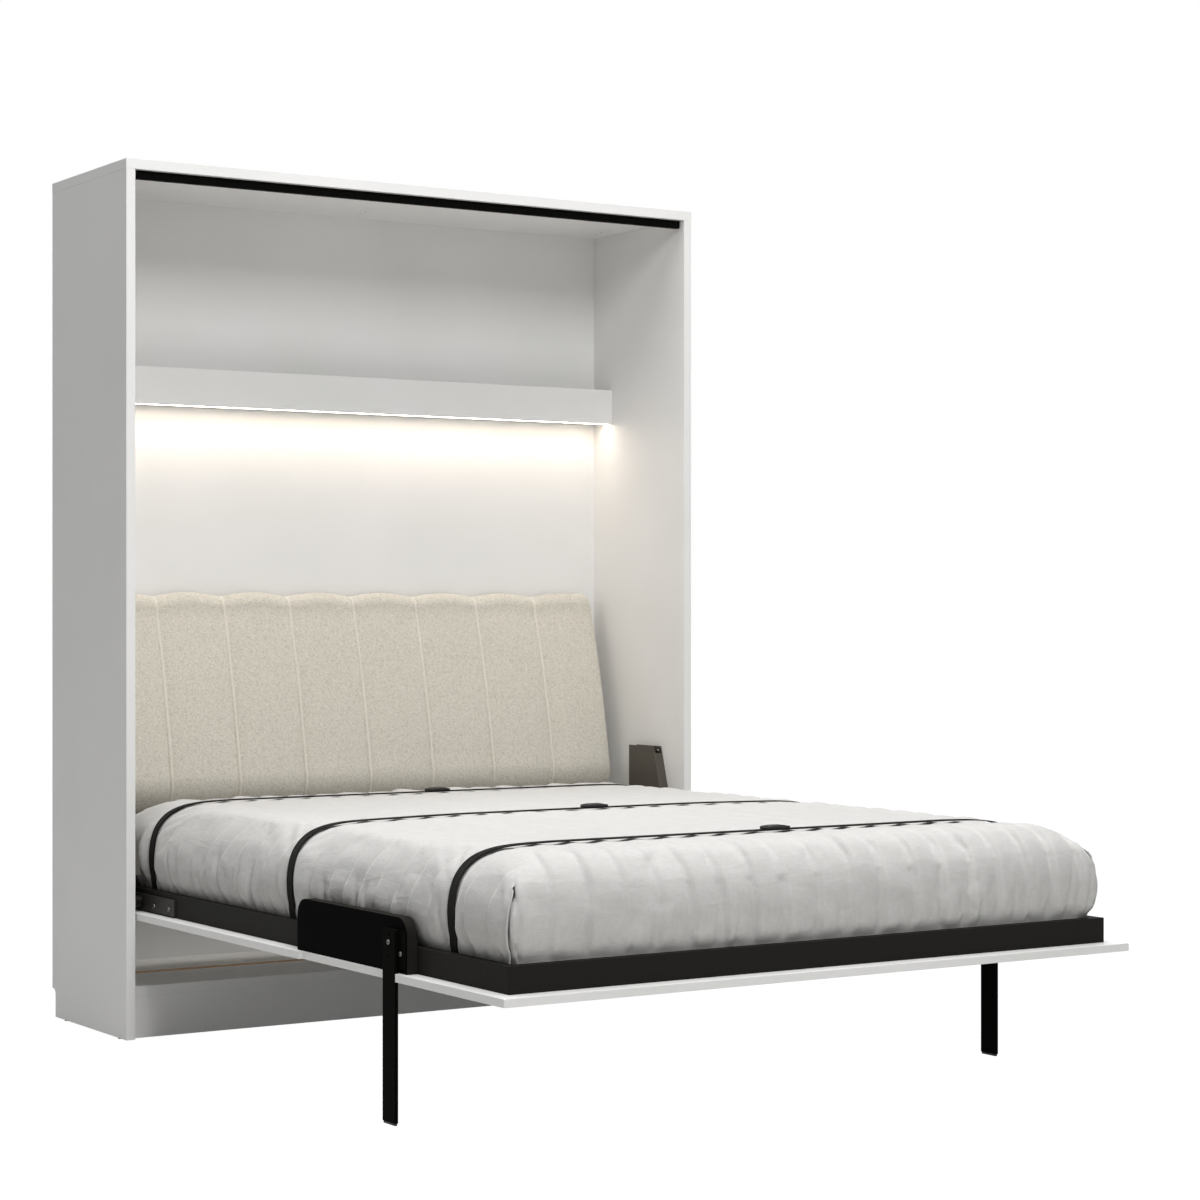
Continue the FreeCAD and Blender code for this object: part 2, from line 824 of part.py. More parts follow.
keep(mirror("right_strut_cylinder_twin", strut_cylinder), "right_strut_cylinder")

rod_top = strut_length - rod_seat
rod = cylinder("strut_rod_bar", 0, 0, -strut_reach, rod_radius, strut_reach - rod_top, "z")
rod_end_radius = cell("strut_rod_end_radius")
rod_end = cylinder("strut_rod_end", -strut_eye / 2, 0, -strut_reach, rod_end_radius, strut_eye, "x")
stud_length = strut_x - lever_out - cell("stud_gap")
stud = cylinder("strut_stud", 0, 0, -strut_reach, strut_pin_radius, stud_length, "x")
strut_rod = fuse("left_strut_rod", [rod, rod_end, stud])
lean(strut_rod)
keep(strut_rod, "left_strut_rod")
keep(mirror("right_strut_rod_twin", strut_rod), "right_strut_rod")

# Levers bolted to the outside of the side rails, one each side
bolt_radius = cell("bolt_radius")
bolt_play = cell("bolt_play")
lever_low = pivot_z - cell("lever_drop")
lever_high = pivot_z + cell("lever_rise")
lever_front = front - cell("lever_front")
lever_end = stud_y + cell("lever_end")
bolt_z = pivot_z - cell("lever_bolt_drop")
bolt_places = [(front - cell("lever_bolt_near"), bolt_z), (front - cell("lever_bolt_far"), bolt_z)]
lever_outline = [
    (lever_front, lever_low),
    (lever_end, lever_low),
    (lever_end, lever_high),
    (lever_front, lever_high),
]
lever_circles = [(pivot_y, pivot_z, cell("pivot_radius") + play)]
lever_circles += [(along, up, bolt_radius + bolt_play) for along, up in bolt_places]
left_lever = plate("left_lever", "YZ_Plane", -lever_out, lever_outline, lever_thick, lever_circles)
round_corners(left_lever, "x", [(lever_end, lever_low), (lever_end, lever_high)], cell("lever_end") * 0.9)
round_corners(left_lever, "x", [(lever_front, lever_low), (lever_front, lever_high)], cell("lever_corner"))
keep(left_lever, "left_lever")
keep(mirror("right_lever_twin", left_lever), "right_lever")

rail_wall = cell("rail_wall")
lever_bolts = []
for number, (along, up) in enumerate(bolt_places, start=1):
    shank = cylinder(
        f"lever_bolt_shank_{number}", -lever_out, along, up,
        bolt_radius, lever_thick + rail_wall, "x",
    )
    head = cylinder(
        f"lever_bolt_head_{number}", -lever_out - cell("bolt_head"), along, up,
        cell("bolt_head_radius"), cell("bolt_head"), "x",
    )
    lever_bolts.append(fuse(f"lever_bolt_{number}", [shank, head]))
keep_both_sides(lever_bolts, "lever_bolts")

# Front panel of the closed cabinet, in two boards, notched at its sides for the legs
panel_board = cell("panel_board")
panel_half = inner - cell("panel_side_gap")
panel_top = panel_underside + panel_board
seam_y = front - cell("panel_seam")
joint = cell("panel_joint")
panel_head = front + cell("panel_head")
notch_near = front - cell("panel_notch_near")
notch_far = front - cell("panel_notch_far")
notch_half = panel_half - cell("panel_notch_depth")
keep(box(
    "panel_head_board", -panel_half, seam_y, panel_underside,
    panel_half * 2, panel_head - seam_y, panel_board,
), "front_panel_head_board")
panel_outline = [
    (-panel_half, foot),
    (panel_half, foot),
    (panel_half, notch_far),
    (notch_half, notch_far),
    (notch_half, notch_near),
    (panel_half, notch_near),
    (panel_half, seam_y - joint),
    (-panel_half, seam_y - joint),
    (-panel_half, notch_near),
    (-notch_half, notch_near),
    (-notch_half, notch_far),
    (-panel_half, notch_far),
]
foot_board = plate("panel_foot_board", "XY_Plane", panel_underside, panel_outline, panel_board)
keep(foot_board, "front_panel_foot_board")

# Steel frame: box-section rails mitred at the foot, closed by a plate at the head
rail_foot = foot + cell("rail_foot_inset")
rail_head = front + cell("rail_head")
head_plate = cell("head_plate")
head_in = rail_head - head_plate
rail_in = rail_out - rail_width
rail_height = cell("rail_height")
foot_in = rail_foot + rail_width


def tube_rail(name, outline, hollow):
    """Return a box-section rail, open only at its ends."""
    owner = body(name)
    pad(owner, sketch(owner, f"{name}_outline", "XY_Plane", panel_top, [outline]), rail_height)
    inside = sketch(owner, f"{name}_inside", "XY_Plane", panel_top + rail_wall, [hollow])
    pocket(owner, inside, rail_height - rail_wall * 2, forwards=True)
    return owner


left_rail = tube_rail(
    "left_side_rail",
    [(-rail_out, rail_foot), (-rail_out, head_in), (-rail_in, head_in), (-rail_in, foot_in)],
    [
        (-rail_out + rail_wall, rail_foot + rail_wall),
        (-rail_out + rail_wall, head_in + overrun),
        (-rail_in - rail_wall, head_in + overrun),
        (-rail_in - rail_wall, foot_in - rail_wall),
    ],
)
rail_holes = [(along, up, bolt_radius + bolt_play) for along, up in bolt_places]
rail_hole_sketch = sketch(left_rail, "rail_bolt_holes", "YZ_Plane", -rail_out, [], rail_holes)
pocket(left_rail, rail_hole_sketch, rail_wall, forwards=True)
keep(left_rail, "left_side_rail")
keep(mirror("right_rail_twin", left_rail), "right_side_rail")
foot_rail = tube_rail(
    "foot_rail",
    [(-rail_out, rail_foot), (rail_out, rail_foot), (rail_in, foot_in), (-rail_in, foot_in)],
    [
        (-rail_out + rail_wall, rail_foot + rail_wall),
        (rail_out - rail_wall, rail_foot + rail_wall),
        (rail_in + rail_wall, foot_in - rail_wall),
        (-rail_in - rail_wall, foot_in - rail_wall),
    ],
)
keep(foot_rail, "foot_rail")
keep(box(
    "head_plate", -rail_out, head_in, panel_top,
    rail_out * 2, head_plate, rail_height,
), "head_end_plate")

# Ledge angles and a middle beam that carry the slats
slat_under = panel_top + cell("slat_rise")
slat_thick = cell("slat_thick")
ledge_sheet = cell("slat_ledge_sheet")
slat_ledge = cell("slat_ledge")
ledge_start = foot_in
ledge_end = head_in
left_ledge = plate(
    "left_slat_ledge",
    "XZ_Plane",
    -ledge_end,
    [
        (-rail_in, panel_top),
        (-rail_in + ledge_sheet, panel_top),
        (-rail_in + ledge_sheet, slat_under - ledge_sheet),
        (-rail_in + slat_ledge, slat_under - ledge_sheet),
        (-rail_in + slat_ledge, slat_under),
        (-rail_in, slat_under),
    ],
    ledge_end - ledge_start,
)
keep(left_ledge, "left_slat_ledge")
keep(mirror("right_ledge_twin", left_ledge), "right_slat_ledge")
beam_half = cell("beam_width") / 2
beam_outer = box(
    "beam_outer", -beam_half, ledge_start, panel_top,
    beam_half * 2, ledge_end - ledge_start, cell("slat_rise"),
)
beam_inner = box(
    "beam_inner", -beam_half + rail_wall, ledge_start - overrun, panel_top + rail_wall,
    beam_half * 2 - rail_wall * 2, ledge_end - ledge_start + overrun * 2, cell("slat_rise") - rail_wall * 2,
)
keep(cut("centre_beam_tube", beam_outer, beam_inner), "centre_beam")
slat_half = rail_in - cell("slat_side_gap")
slat_width = cell("slat_width")
slat_end_gap = cell("slat_end_gap")
slat_pitch = (ledge_end - ledge_start - slat_end_gap * 2 - slat_width) / (SLATS - 1)
slat_bars = []
for number in range(SLATS):
    slat_bars.append(box(
        f"slat_{number + 1}", -slat_half, ledge_start + slat_end_gap + slat_pitch * number, slat_under,
        slat_half * 2, slat_width, slat_thick,
    ))
keep(group("slat_bars", slat_bars), "slats")

# Mattress of 1500 by 2000, laid into the frame
soft_gap = cell("soft_gap")
mattress_half = rail_in - cell("mattress_side_gap")
mattress_foot = foot_in + cell("mattress_foot_gap")
mattress_length = head_in - cell("mattress_head_gap") - mattress_foot
mattress_low = slat_under + slat_thick
mattress_height = cell("mattress_height")


def mattress_form(gap, depth):
    """Return the mattress with rounded corners, larger by a gap and deeper by a depth."""
    low_corner = vector(-mattress_half - gap, mattress_foot - gap, mattress_low - depth)
    block = Part.makeBox(
        float(mattress_half * 2 + gap * 2),
        float(mattress_length + gap * 2),
        float(mattress_height + gap + depth),
        low_corner,
    )
    upright = [edge for edge in block.Edges if abs(edge.tangentAt(edge.FirstParameter).z) > 0.5]
    block = block.makeFillet(float(cell("mattress_corner") + gap), upright)
    top = block.BoundBox.ZMax
    rim = [edge for edge in block.Edges if edge.BoundBox.ZMin > top - float(touch)]
    return block.makeFillet(float(cell("mattress_radius") + gap), rim)


mattress = doc.addObject("Part::Feature", "mattress_form")
mattress.Shape = mattress_form(as_size(0), as_size(0))
keep(mattress, "mattress")

# Quilt: outward bulge and height in shares of its whole height, and the corner's
# roundness in shares of its roundness on top
QUILT_SHARES = [
    (0.0, 0.0, 0.3),
    (0.0, 0.11, 0.3),
    (0.035, 0.17, 0.3),
    (0.075, 0.3, 0.35),
    (0.085, 0.46, 0.4),
    (0.055, 0.62, 0.45),
    (0.005, 0.73, 0.55),
    (-0.07, 0.815, 0.7),
    (-0.165, 0.88, 0.85),
    (-0.28, 0.925, 1.0),
    (-0.42, 0.957, 1.0),
    (-0.62, 0.977, 1.0),
    (-1.1, 0.989, 1.0),
    (-1.9, 1.0, 1.0),
]
HEAD_BULGE_SHARE = 0.35
quilt_low = mattress_low + cell("quilt_bottom_gap")
quilt_half = rail_in - cell("quilt_side_gap")
quilt_foot = foot_in + cell("quilt_end_gap")
quilt_head = head_in - cell("quilt_end_gap")
quilt_rise = float(cell("quilt_top") - quilt_low)
quilt_points = [
    (bulge * quilt_rise, float(quilt_low) + up * quilt_rise) for bulge, up, corner in QUILT_SHARES
]


def outward(points, distance):
    """Return a profile moved outwards by a distance, square to its own runs."""
    moved = []
    for number, point in enumerate(points):
        before = points[max(number - 1, 0)]
        after = points[min(number + 1, len(points) - 1)]
        normals = []
        for one, two in ((before, point), (point, after)):
            length = math.hypot(two[0] - one[0], two[1] - one[1])
            if length > 0:
                normals.append(((two[1] - one[1]) / length, -(two[0] - one[0]) / length))
        across = sum(normal[0] for normal in normals) / len(normals)
        up = sum(normal[1] for normal in normals) / len(normals)
        stretch = distance / (across * across + up * up)
        moved.append((point[0] + across * stretch, point[1] + up * stretch))
    moved[0] = (moved[0][0], points[0][1])
    moved[-1] = (points[-1][0], points[-1][1] + distance)
    return moved


def quilt_ring(bulge, up, corner, head_loss):
    """Return one level outline of the quilt, a rectangle with round corners."""
    wide = float(quilt_half) + bulge
    low = float(quilt_foot) - bulge
    high = float(quilt_head) + bulge - head_loss
    turn = corner * (1 - math.sqrt(0.5))
    starts = [(wide, high - corner), (corner - wide, high), (-wide, low + corner), (wide - corner, low)]
    middles = [(wide - turn, high - turn), (turn - wide, high - turn)]
    middles += [(turn - wide, low + turn), (wide - turn, low + turn)]
    ends = [(wide - corner, high), (-wide, high - corner), (corner - wide, low), (wide, low + corner)]
    edges = []
    for number, start in enumerate(starts):
        end = ends[number]
        middle = middles[number]
        after = starts[(number + 1) % len(starts)]
        edges.append(Part.Arc(vector(*start, up), vector(*middle, up), vector(*end, up)).toShape())
        edges.append(Part.makeLine(vector(*end, up), vector(*after, up)))
    return Part.Wire(edges)


def quilt_form(distance):
    """Return the quilt's closed outer form, moved outwards by a distance."""
    moved_points = outward(quilt_points, distance)
    rings = []
    for (plain_bulge, plain_up), (bulge, up), shares in zip(quilt_points, moved_points, QUILT_SHARES):
        head_loss = max(plain_bulge, 0.0) * (1 - HEAD_BULGE_SHARE)
        corner = float(cell("quilt_corner")) * shares[2] + distance
        rings.append(quilt_ring(bulge, up, corner, head_loss))
    return Part.makeLoft(rings, True, True)


quilt = doc.addObject("Part::Feature", "quilt_form")
quilt.Shape = quilt_form(0.0).cut(mattress_form(soft_gap, board))
keep(quilt, "quilt")

# Three webbing straps over the quilt, each with a buckle, at shares of the bed's reach
STRAP_PLACE_SHARES = [("strap_head", -0.0168), ("strap_middle", 0.4188), ("strap_foot", 0.8327)]
strap_thick = cell("strap_thick")
strap_width = cell("strap_width")
under_strap = quilt_form(float(soft_gap))
over_strap = quilt_form(float(soft_gap + strap_thick))
band = over_strap.cut(under_strap)
buckles = []
for name, place_share in STRAP_PLACE_SHARES:
    strap_y = front - reach * place_share
    slab = box(
        f"{name}_slab", -half, strap_y - strap_width / 2, panel_top,
        half * 2, strap_width, cell("quilt_top"),
    )
    doc.recompute()
    strap = doc.addObject("Part::Feature", f"{name}_form")
    strap.Shape = band.common(slab.Shape)
    keep(strap, name)
    buckle_x = cell("buckle_place")
    buckle_half = cell("buckle_length") / 2
    strap_top = max(vertex.Z for vertex in strap.Shape.Vertexes)
    buckle_z = as_size(strap_top) + soft_gap
    outer = box(
        f"{name}_buckle_plate", buckle_x - buckle_half, strap_y - cell("buckle_width") / 2, buckle_z,
        buckle_half * 2, cell("buckle_width"), cell("buckle_height"),
    )
    window_x = buckle_x - cell("buckle_window") / 2
    window = box(
        f"{name}_buckle_window", window_x, strap_y - strap_width / 2, buckle_z - overrun,
        cell("buckle_window") / 3, strap_width, overrun * 3,
    )
    buckles.append(cut(f"{name}_buckle", outer, window))
keep(group("buckle_set", buckles), "strap_buckles")

# Boards that carry the fold-out legs, on the outside of the side rails
leg_board_thick = cell("leg_board_thick")
board_out = rail_out + leg_board_thick
board_near = front - cell("leg_board_near")
board_far = front - cell("leg_board_far")
board_high = panel_top + cell("leg_board_height")
leg_pivot_y = front - cell("leg_pivot_place")
leg_pivot_z = cell("leg_pivot_height")
fixed_bolt_y = leg_pivot_y - cell("leg_bolt_across")
fixed_bolt_z = leg_pivot_z - cell("leg_bolt_drop")
leg_circles = [
    (leg_pivot_y, leg_pivot_z, bolt_radius + bolt_play),
    (fixed_bolt_y, fixed_bolt_z, bolt_radius + bolt_play),
]
left_board = plate(
    "left_leg_board",
    "YZ_Plane",
    -board_out,
    [(board_far, panel_top), (board_near, panel_top), (board_near, board_high), (board_far, board_high)],
    leg_board_thick,
    leg_circles,
)
round_corners(left_board, "x", [(board_far, board_high), (board_near, board_high)], cell("leg_board_radius"))
keep(left_board, "left_leg_board")
keep(mirror("right_leg_board_twin", left_board), "right_leg_board")

# Steel plates between the legs and their boards
leg_plate = cell("leg_plate")
plate_out = board_out + leg_plate
plate_near = front - cell("leg_plate_near")
plate_far = front - cell("leg_plate_far")
left_plate = plate(
    "left_leg_plate",
    "YZ_Plane",
    -plate_out,
    [
        (plate_far, cell("leg_plate_low")),
        (plate_near, cell("leg_plate_low")),
        (plate_near, cell("leg_top")),
        (plate_far, cell("leg_top")),
    ],
    leg_plate,
    leg_circles,
)
keep(left_plate, "left_leg_plate")
keep(mirror("right_leg_plate_twin", left_plate), "right_leg_plate")

# Legs: flat bars that turn on a bolt, with a slot and a hole of the catch
leg_width = cell("leg_width")
leg_thick = cell("leg_thick")
leg_out = plate_out + cell("leg_gap") + leg_thick
leg_near = leg_pivot_y + leg_width / 2
leg_far = leg_pivot_y - leg_width / 2
leg_top = cell("leg_top")
pad_height = cell("leg_pad_height")
left_leg = plate(
    "left_leg_bar",
    "YZ_Plane",
    -leg_out,
    [(leg_far, pad_height), (leg_near, pad_height), (leg_near, leg_top), (leg_far, leg_top)],
    leg_thick,
    [
        (leg_pivot_y, leg_pivot_z, bolt_radius + bolt_play),
        (leg_pivot_y, leg_pivot_z + cell("leg_slot_rise"), cell("leg_slot_radius")),
        (leg_pivot_y, leg_pivot_z - cell("leg_hole_drop"), cell("leg_hole_radius")),
    ],
)
round_corners(left_leg, "x", [(leg_far, leg_top), (leg_near, leg_top)], cell("leg_corner"))
keep(left_leg, "left_leg_bar")
keep(mirror("right_leg_twin", left_leg), "right_leg_bar")
pad_inset = cell("leg_pad_inset")
left_pad = box(
    "left_leg_pad_block", -leg_out + pad_inset, leg_far + pad_inset, 0,
    leg_thick - pad_inset * 2, leg_width - pad_inset * 2, pad_height,
)
keep(left_pad, "left_leg_pad")
keep(mirror("right_leg_pad_twin", left_pad), "right_leg_pad")

# Leg bolts: the pivot through the leg, and a stop bolt on the plate beside it
head_face = leg_out + cell("leg_bolt_gap")
leg_bolts = []
for number, (along, up, face) in enumerate((
    (leg_pivot_y, leg_pivot_z, head_face),
    (fixed_bolt_y, fixed_bolt_z, plate_out),
), start=1):
    shank = cylinder(
        f"leg_bolt_shank_{number}", -face, along, up,
        bolt_radius, face - board_out + cell("leg_bolt_reach"), "x",
    )
    head = cylinder(
        f"leg_bolt_head_{number}", -face - cell("bolt_head"), along, up,
        cell("bolt_head_radius"), cell("bolt_head"), "x",
    )
    leg_bolts.append(fuse(f"leg_bolt_{number}", [shank, head]))
keep_both_sides(leg_bolts, "leg_bolts")

# Write each piece once everything is sound
doc.recompute()
for item in doc.Objects:
    if "Invalid" in item.State or "Error" in item.State:
        raise RuntimeError(f"{item.Name} failed: {item.State}")
for item in nodes:
    if item.Shape.isNull() or not item.Shape.isValid():
        raise RuntimeError(f"{item.Label} has no sound shape")
os.makedirs("parts", exist_ok=True)
for item in nodes:
    item.Shape.exportStep(f"parts/{item.Label}.step")
print(len(nodes), "pieces written")
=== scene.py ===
# Wall bed: a white cabinet with a lit ledge and a channelled headboard, and a double
# bed on its front panel that folds down. Metres; X across, Y from foot to wall, Z up.
import math

import bpy
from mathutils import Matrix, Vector, noise


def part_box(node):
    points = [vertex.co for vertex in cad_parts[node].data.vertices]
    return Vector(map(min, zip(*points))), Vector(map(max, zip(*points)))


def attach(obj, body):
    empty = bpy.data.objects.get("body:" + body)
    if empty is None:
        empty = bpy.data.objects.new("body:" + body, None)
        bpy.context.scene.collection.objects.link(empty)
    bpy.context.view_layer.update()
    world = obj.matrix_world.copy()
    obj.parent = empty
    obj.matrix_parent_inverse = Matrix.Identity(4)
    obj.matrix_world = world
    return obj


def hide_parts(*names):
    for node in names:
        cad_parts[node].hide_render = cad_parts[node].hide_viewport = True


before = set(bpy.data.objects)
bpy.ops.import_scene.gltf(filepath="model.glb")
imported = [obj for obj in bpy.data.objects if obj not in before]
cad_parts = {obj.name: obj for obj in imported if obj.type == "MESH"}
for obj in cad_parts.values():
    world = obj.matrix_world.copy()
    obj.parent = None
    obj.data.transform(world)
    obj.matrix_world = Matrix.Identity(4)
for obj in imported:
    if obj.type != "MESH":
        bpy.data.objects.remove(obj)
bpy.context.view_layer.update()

scene = bpy.context.scene

# Camera: level, 1.1 m up, in front of the foot's left corner. The lens and the small
# shift are those that the photographed edges give.
CAMERA_PLACE = (-3.6263, -5.8284, 1.1001)
CAMERA_TURN = math.radians(-32.83)
camera_data = bpy.data.cameras.new("camera")
camera_data.sensor_width = 36.0
camera_data.lens = 81.8
camera_data.shift_y = 0.0084
camera = bpy.data.objects.new("camera", camera_data)
camera.location = CAMERA_PLACE
camera.rotation_euler = (math.pi / 2, 0, CAMERA_TURN)
scene.collection.objects.link(camera)
scene.camera = camera

# White boards of the cabinet and the front panel: chipboard faced with melamine paper
# and edged with thin plastic band. The facing is pressed against a satin plate, which
# leaves it nearly flat with a faint pebble; the edges are rounded by a scraper.
WHITE_BOARDS = (
    "left_side_panel", "right_side_panel", "top_panel", "front_plinth_board",
    "rear_plinth_board", "bottom_board", "ledge_front_board", "ledge_shelf_board",
    "front_panel_head_board", "front_panel_foot_board",
)
BAND_ROUNDING = 0.0009
PEBBLE_SIZE = 0.004
PATCH_SIZE = 0.35


def linear(code):
    """Return an sRGB hex colour as linear numbers."""
    shares = [int(code[start:start + 2], 16) / 255 for start in (1, 3, 5)]
    bent = [s / 12.92 if s <= 0.04045 else ((s + 0.055) / 1.055) ** 2.4 for s in shares]
    return (*bent, 1.0)


def add_node(tree, kind, settings=None, links=None):
    """Add one node with its settings and the outputs that feed it."""
    made = tree.nodes.new(kind)
    for name, value in (settings or {}).items():
        if isinstance(name, str) and hasattr(made, name):
            setattr(made, name, value)
        else:
            made.inputs[name].default_value = value
    for name, source in (links or {}).items():
        tree.links.new(source, made.inputs[name])
    return made


def start_finish(name, colour, roughness, metallic=0.0):
    """Return a new material with its node tree, its shader and the place on the part."""
    made = bpy.data.materials.new(name)
    made.use_nodes = True
    tree = made.node_tree
    shader = tree.nodes["Principled BSDF"]
    shader.inputs["Base Color"].default_value = linear(colour)
    shader.inputs["Roughness"].default_value = roughness
    shader.inputs["Metallic"].default_value = metallic
    spot = add_node(tree, "ShaderNodeTexCoord").outputs["Object"]
    return made, tree, shader, spot


def grain(tree, shader, spot, size, depth, detail=2.0):
    """Raise a fine random grain of one size and depth, and return its pattern."""
    pattern = add_node(
        tree, "ShaderNodeTexNoise", {"Scale": 1 / size, "Detail": detail}, {"Vector": spot}
    ).outputs["Fac"]
    raised = add_node(
        tree, "ShaderNodeBump", {"Strength": 1.0, "Distance": depth}, {"Height": pattern}
    )
    tree.links.new(raised.outputs["Normal"], shader.inputs["Normal"])
    return pattern


def two_tones(tree, shader, pattern, dark, light, low=0.3, high=0.7):
    """Colour a surface between two tones by a pattern."""
    ramp = add_node(tree, "ShaderNodeValToRGB", links={"Fac": pattern})
    ramp.color_ramp.elements[0].position = low
    ramp.color_ramp.elements[1].position = high
    ramp.color_ramp.elements[0].color = linear(dark)
    ramp.color_ramp.elements[1].color = linear(light)
    tree.links.new(ramp.outputs["Color"], shader.inputs["Base Color"])
    return ramp


def coat_node(name, material, rounding=0.0):
    """Give a node of the frame its material and, where asked, rounded edges."""
    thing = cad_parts[name]
    thing.data.materials.clear()
    thing.data.materials.append(material)
    if rounding:
        thing.modifiers.new("join", "WELD").merge_threshold = 0.00001
        edge = thing.modifiers.new("edge", "BEVEL")
        edge.width = rounding
        edge.segments = 2
        edge.limit_method = "ANGLE"
        edge.angle_limit = math.radians(50)
        edge.harden_normals = True


melamine, tree, shader, spot = start_finish("white_melamine", "#E9E9E8", 0.42)
grain(tree, shader, spot, PEBBLE_SIZE, 0.00002)
patches = add_node(tree, "ShaderNodeTexNoise", {"Scale": 1 / PATCH_SIZE}, {"Vector": spot})
two_tones(tree, shader, patches.outputs["Fac"], "#E7E7E5", "#ECEBEA")
shader.inputs["Specular IOR Level"].default_value = 0.4
for board in WHITE_BOARDS:
    coat_node(board, melamine, BAND_ROUNDING)
coat_node("back_panel", melamine)

# Rails behind the cabinet, which take the wall screws: raw chipboard. Chips of several
# sizes show on its unfaced sides.
CHIP_SIZE = 0.006
CHIP_RISE = 0.0002
raw_board, tree, shader, spot = start_finish("raw_chipboard", "#B9A183", 0.8)
chips = add_node(
    tree, "ShaderNodeTexVoronoi", {"Scale": 1 / CHIP_SIZE, "Randomness": 1.0}, {"Vector": spot}
)
chip_tone = add_node(tree, "ShaderNodeSeparateColor", links={"Color": chips.outputs["Color"]})
two_tones(tree, shader, chip_tone.outputs["Red"], "#A28763", "#C9B391", 0.0, 1.0)
raised = add_node(
    tree, "ShaderNodeBump", {"Strength": 1.0, "Distance": CHIP_RISE},
    {"Height": chips.outputs["Distance"]},
)
tree.links.new(raised.outputs["Normal"], shader.inputs["Normal"])
for board in ("wall_rail_upper", "wall_rail_lower"):
    coat_node(board, raw_board)

# Lining sheet on the cabinet's floor: hardboard painted white on its upper face, with
# its sawn brown edge left bare.
hardboard, tree, shader, spot = start_finish("painted_hardboard", "#E4E1DA", 0.5)
grain(tree, shader, spot, 0.003, 0.00004)
direction = add_node(tree, "ShaderNodeNewGeometry").outputs["Normal"]
up_part = add_node(tree, "ShaderNodeSeparateXYZ", links={"Vector": direction}).outputs["Z"]
two_tones(tree, shader, up_part, "#CFAE8D", "#E6E3DD", 0.3, 0.6)
coat_node("bottom_lining_sheet", hardboard)

# Backing of the headboard: birch plywood, sanded. Its grain runs across the bed in
# streaks of some 40 cm by 25 mm.
VENEER_STREAK = (0.4, 0.025, 0.025)
plywood, tree, shader, spot = start_finish("birch_plywood", "#CBAF86", 0.6)
stretched = add_node(
    tree, "ShaderNodeMapping", {"Scale": [1 / size for size in VENEER_STREAK]}, {"Vector": spot}
)
veneer = grain(tree, shader, stretched.outputs["Vector"], 1.0, 0.0002, 6.0)
two_tones(tree, shader, veneer, "#BC9D72", "#D8C19B")
coat_node("headboard_backing", plywood, 0.001)

# Joint fittings in the top panel: die-cast zinc cams with a cross for the screwdriver,
# turned to draw the bolt of the joint tight. They sit just below the board's face. The
# zinc is a dull grey, cloudy over 4 to 5 mm.
CAM_RADIUS = 0.0049
CAM_CROSS_HALF = 0.0034
CAM_CROSS_WIDE = 0.0009
CAM_CROSS_DEEP = 0.0012
CAM_TURNS = 40
ZINC_CLOUD = 1 / 220


def new_piece(name, points, faces, material, body, slot, stands_for=()):
    """Make a mesh piece in the row frame that rides on a body."""
    mesh = bpy.data.meshes.new(name)
    mesh.from_pydata([tuple(p) for p in points], [], faces)
    mesh.materials.append(material)
    made = bpy.data.objects.new(name, mesh)
    scene.collection.objects.link(made)
    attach(made, body)
    if stands_for:
        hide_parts(*stands_for)
    return made


def tube_faces(rings, count):
    """Return the faces of a tube of rings of points, closed at both ends."""
    faces = []
    for ring in range(rings - 1):
        for step in range(count):
            after = (step + 1) % count
            faces.append((
                ring * count + step, ring * count + after,
                (ring + 1) * count + after, (ring + 1) * count + step,
            ))
    last = (rings - 1) * count
    faces.append(tuple(range(count - 1, -1, -1)))
    faces.append(tuple(range(last, last + count)))
    return faces


def turn_profile(centre, axis, profile, turns, inner=None):
    """Return points and faces of a turned solid; inner may shape each ring."""
    axis = Vector(axis).normalized()
    side = axis.orthogonal().normalized()
    other = axis.cross(side)
    points = []
    for number, (radius, rise) in enumerate(profile):
        for step in range(turns):
            angle = 2 * math.pi * step / turns
            reach = radius if inner is None else inner(number, radius, angle)
            points.append(
                Vector(centre) + axis * rise
                + side * (math.cos(angle) * reach) + other * (math.sin(angle) * reach)
            )
    return points, tube_faces(len(profile), turns)


def join_shapes(shapes):
    """Return several shapes' points and faces as one list of each."""
    points, faces = [], []
    for some_points, some_faces in shapes:
        start = len(points)
        points += some_points
        faces += [tuple(index + start for index in face) for face in some_faces]
    return points, faces


def smooth_piece(thing, degrees):
    """Shade a piece smooth except over edges sharper than an angle."""
    thing.data.shade_smooth()
    thing.data.set_sharp_from_angle(angle=math.radians(degrees))


zinc, tree, shader, spot = start_finish("dull_zinc_plate", "#676662", 0.34, 1.0)
grain(tree, shader, spot, 0.0015, 0.00003, 3.0)
clouds = add_node(
    tree, "ShaderNodeTexNoise", {"Scale": 1 / ZINC_CLOUD, "Detail": 3.0}, {"Vector": spot}
)
two_tones(tree, shader, clouds.outputs["Fac"], "#5A5955", "#74736F")


def cross_ring(number, radius, angle):
    """Shape the inner rings of a cam into its cross."""
    if number < 3:
        return radius
    angle = (angle + math.pi / 4) % (math.pi / 2) - math.pi / 4
    arm = min(CAM_CROSS_HALF, CAM_CROSS_WIDE / max(abs(math.sin(angle)), 0.001))
    return min(arm, CAM_CROSS_HALF) if number < 5 else arm * 0.9


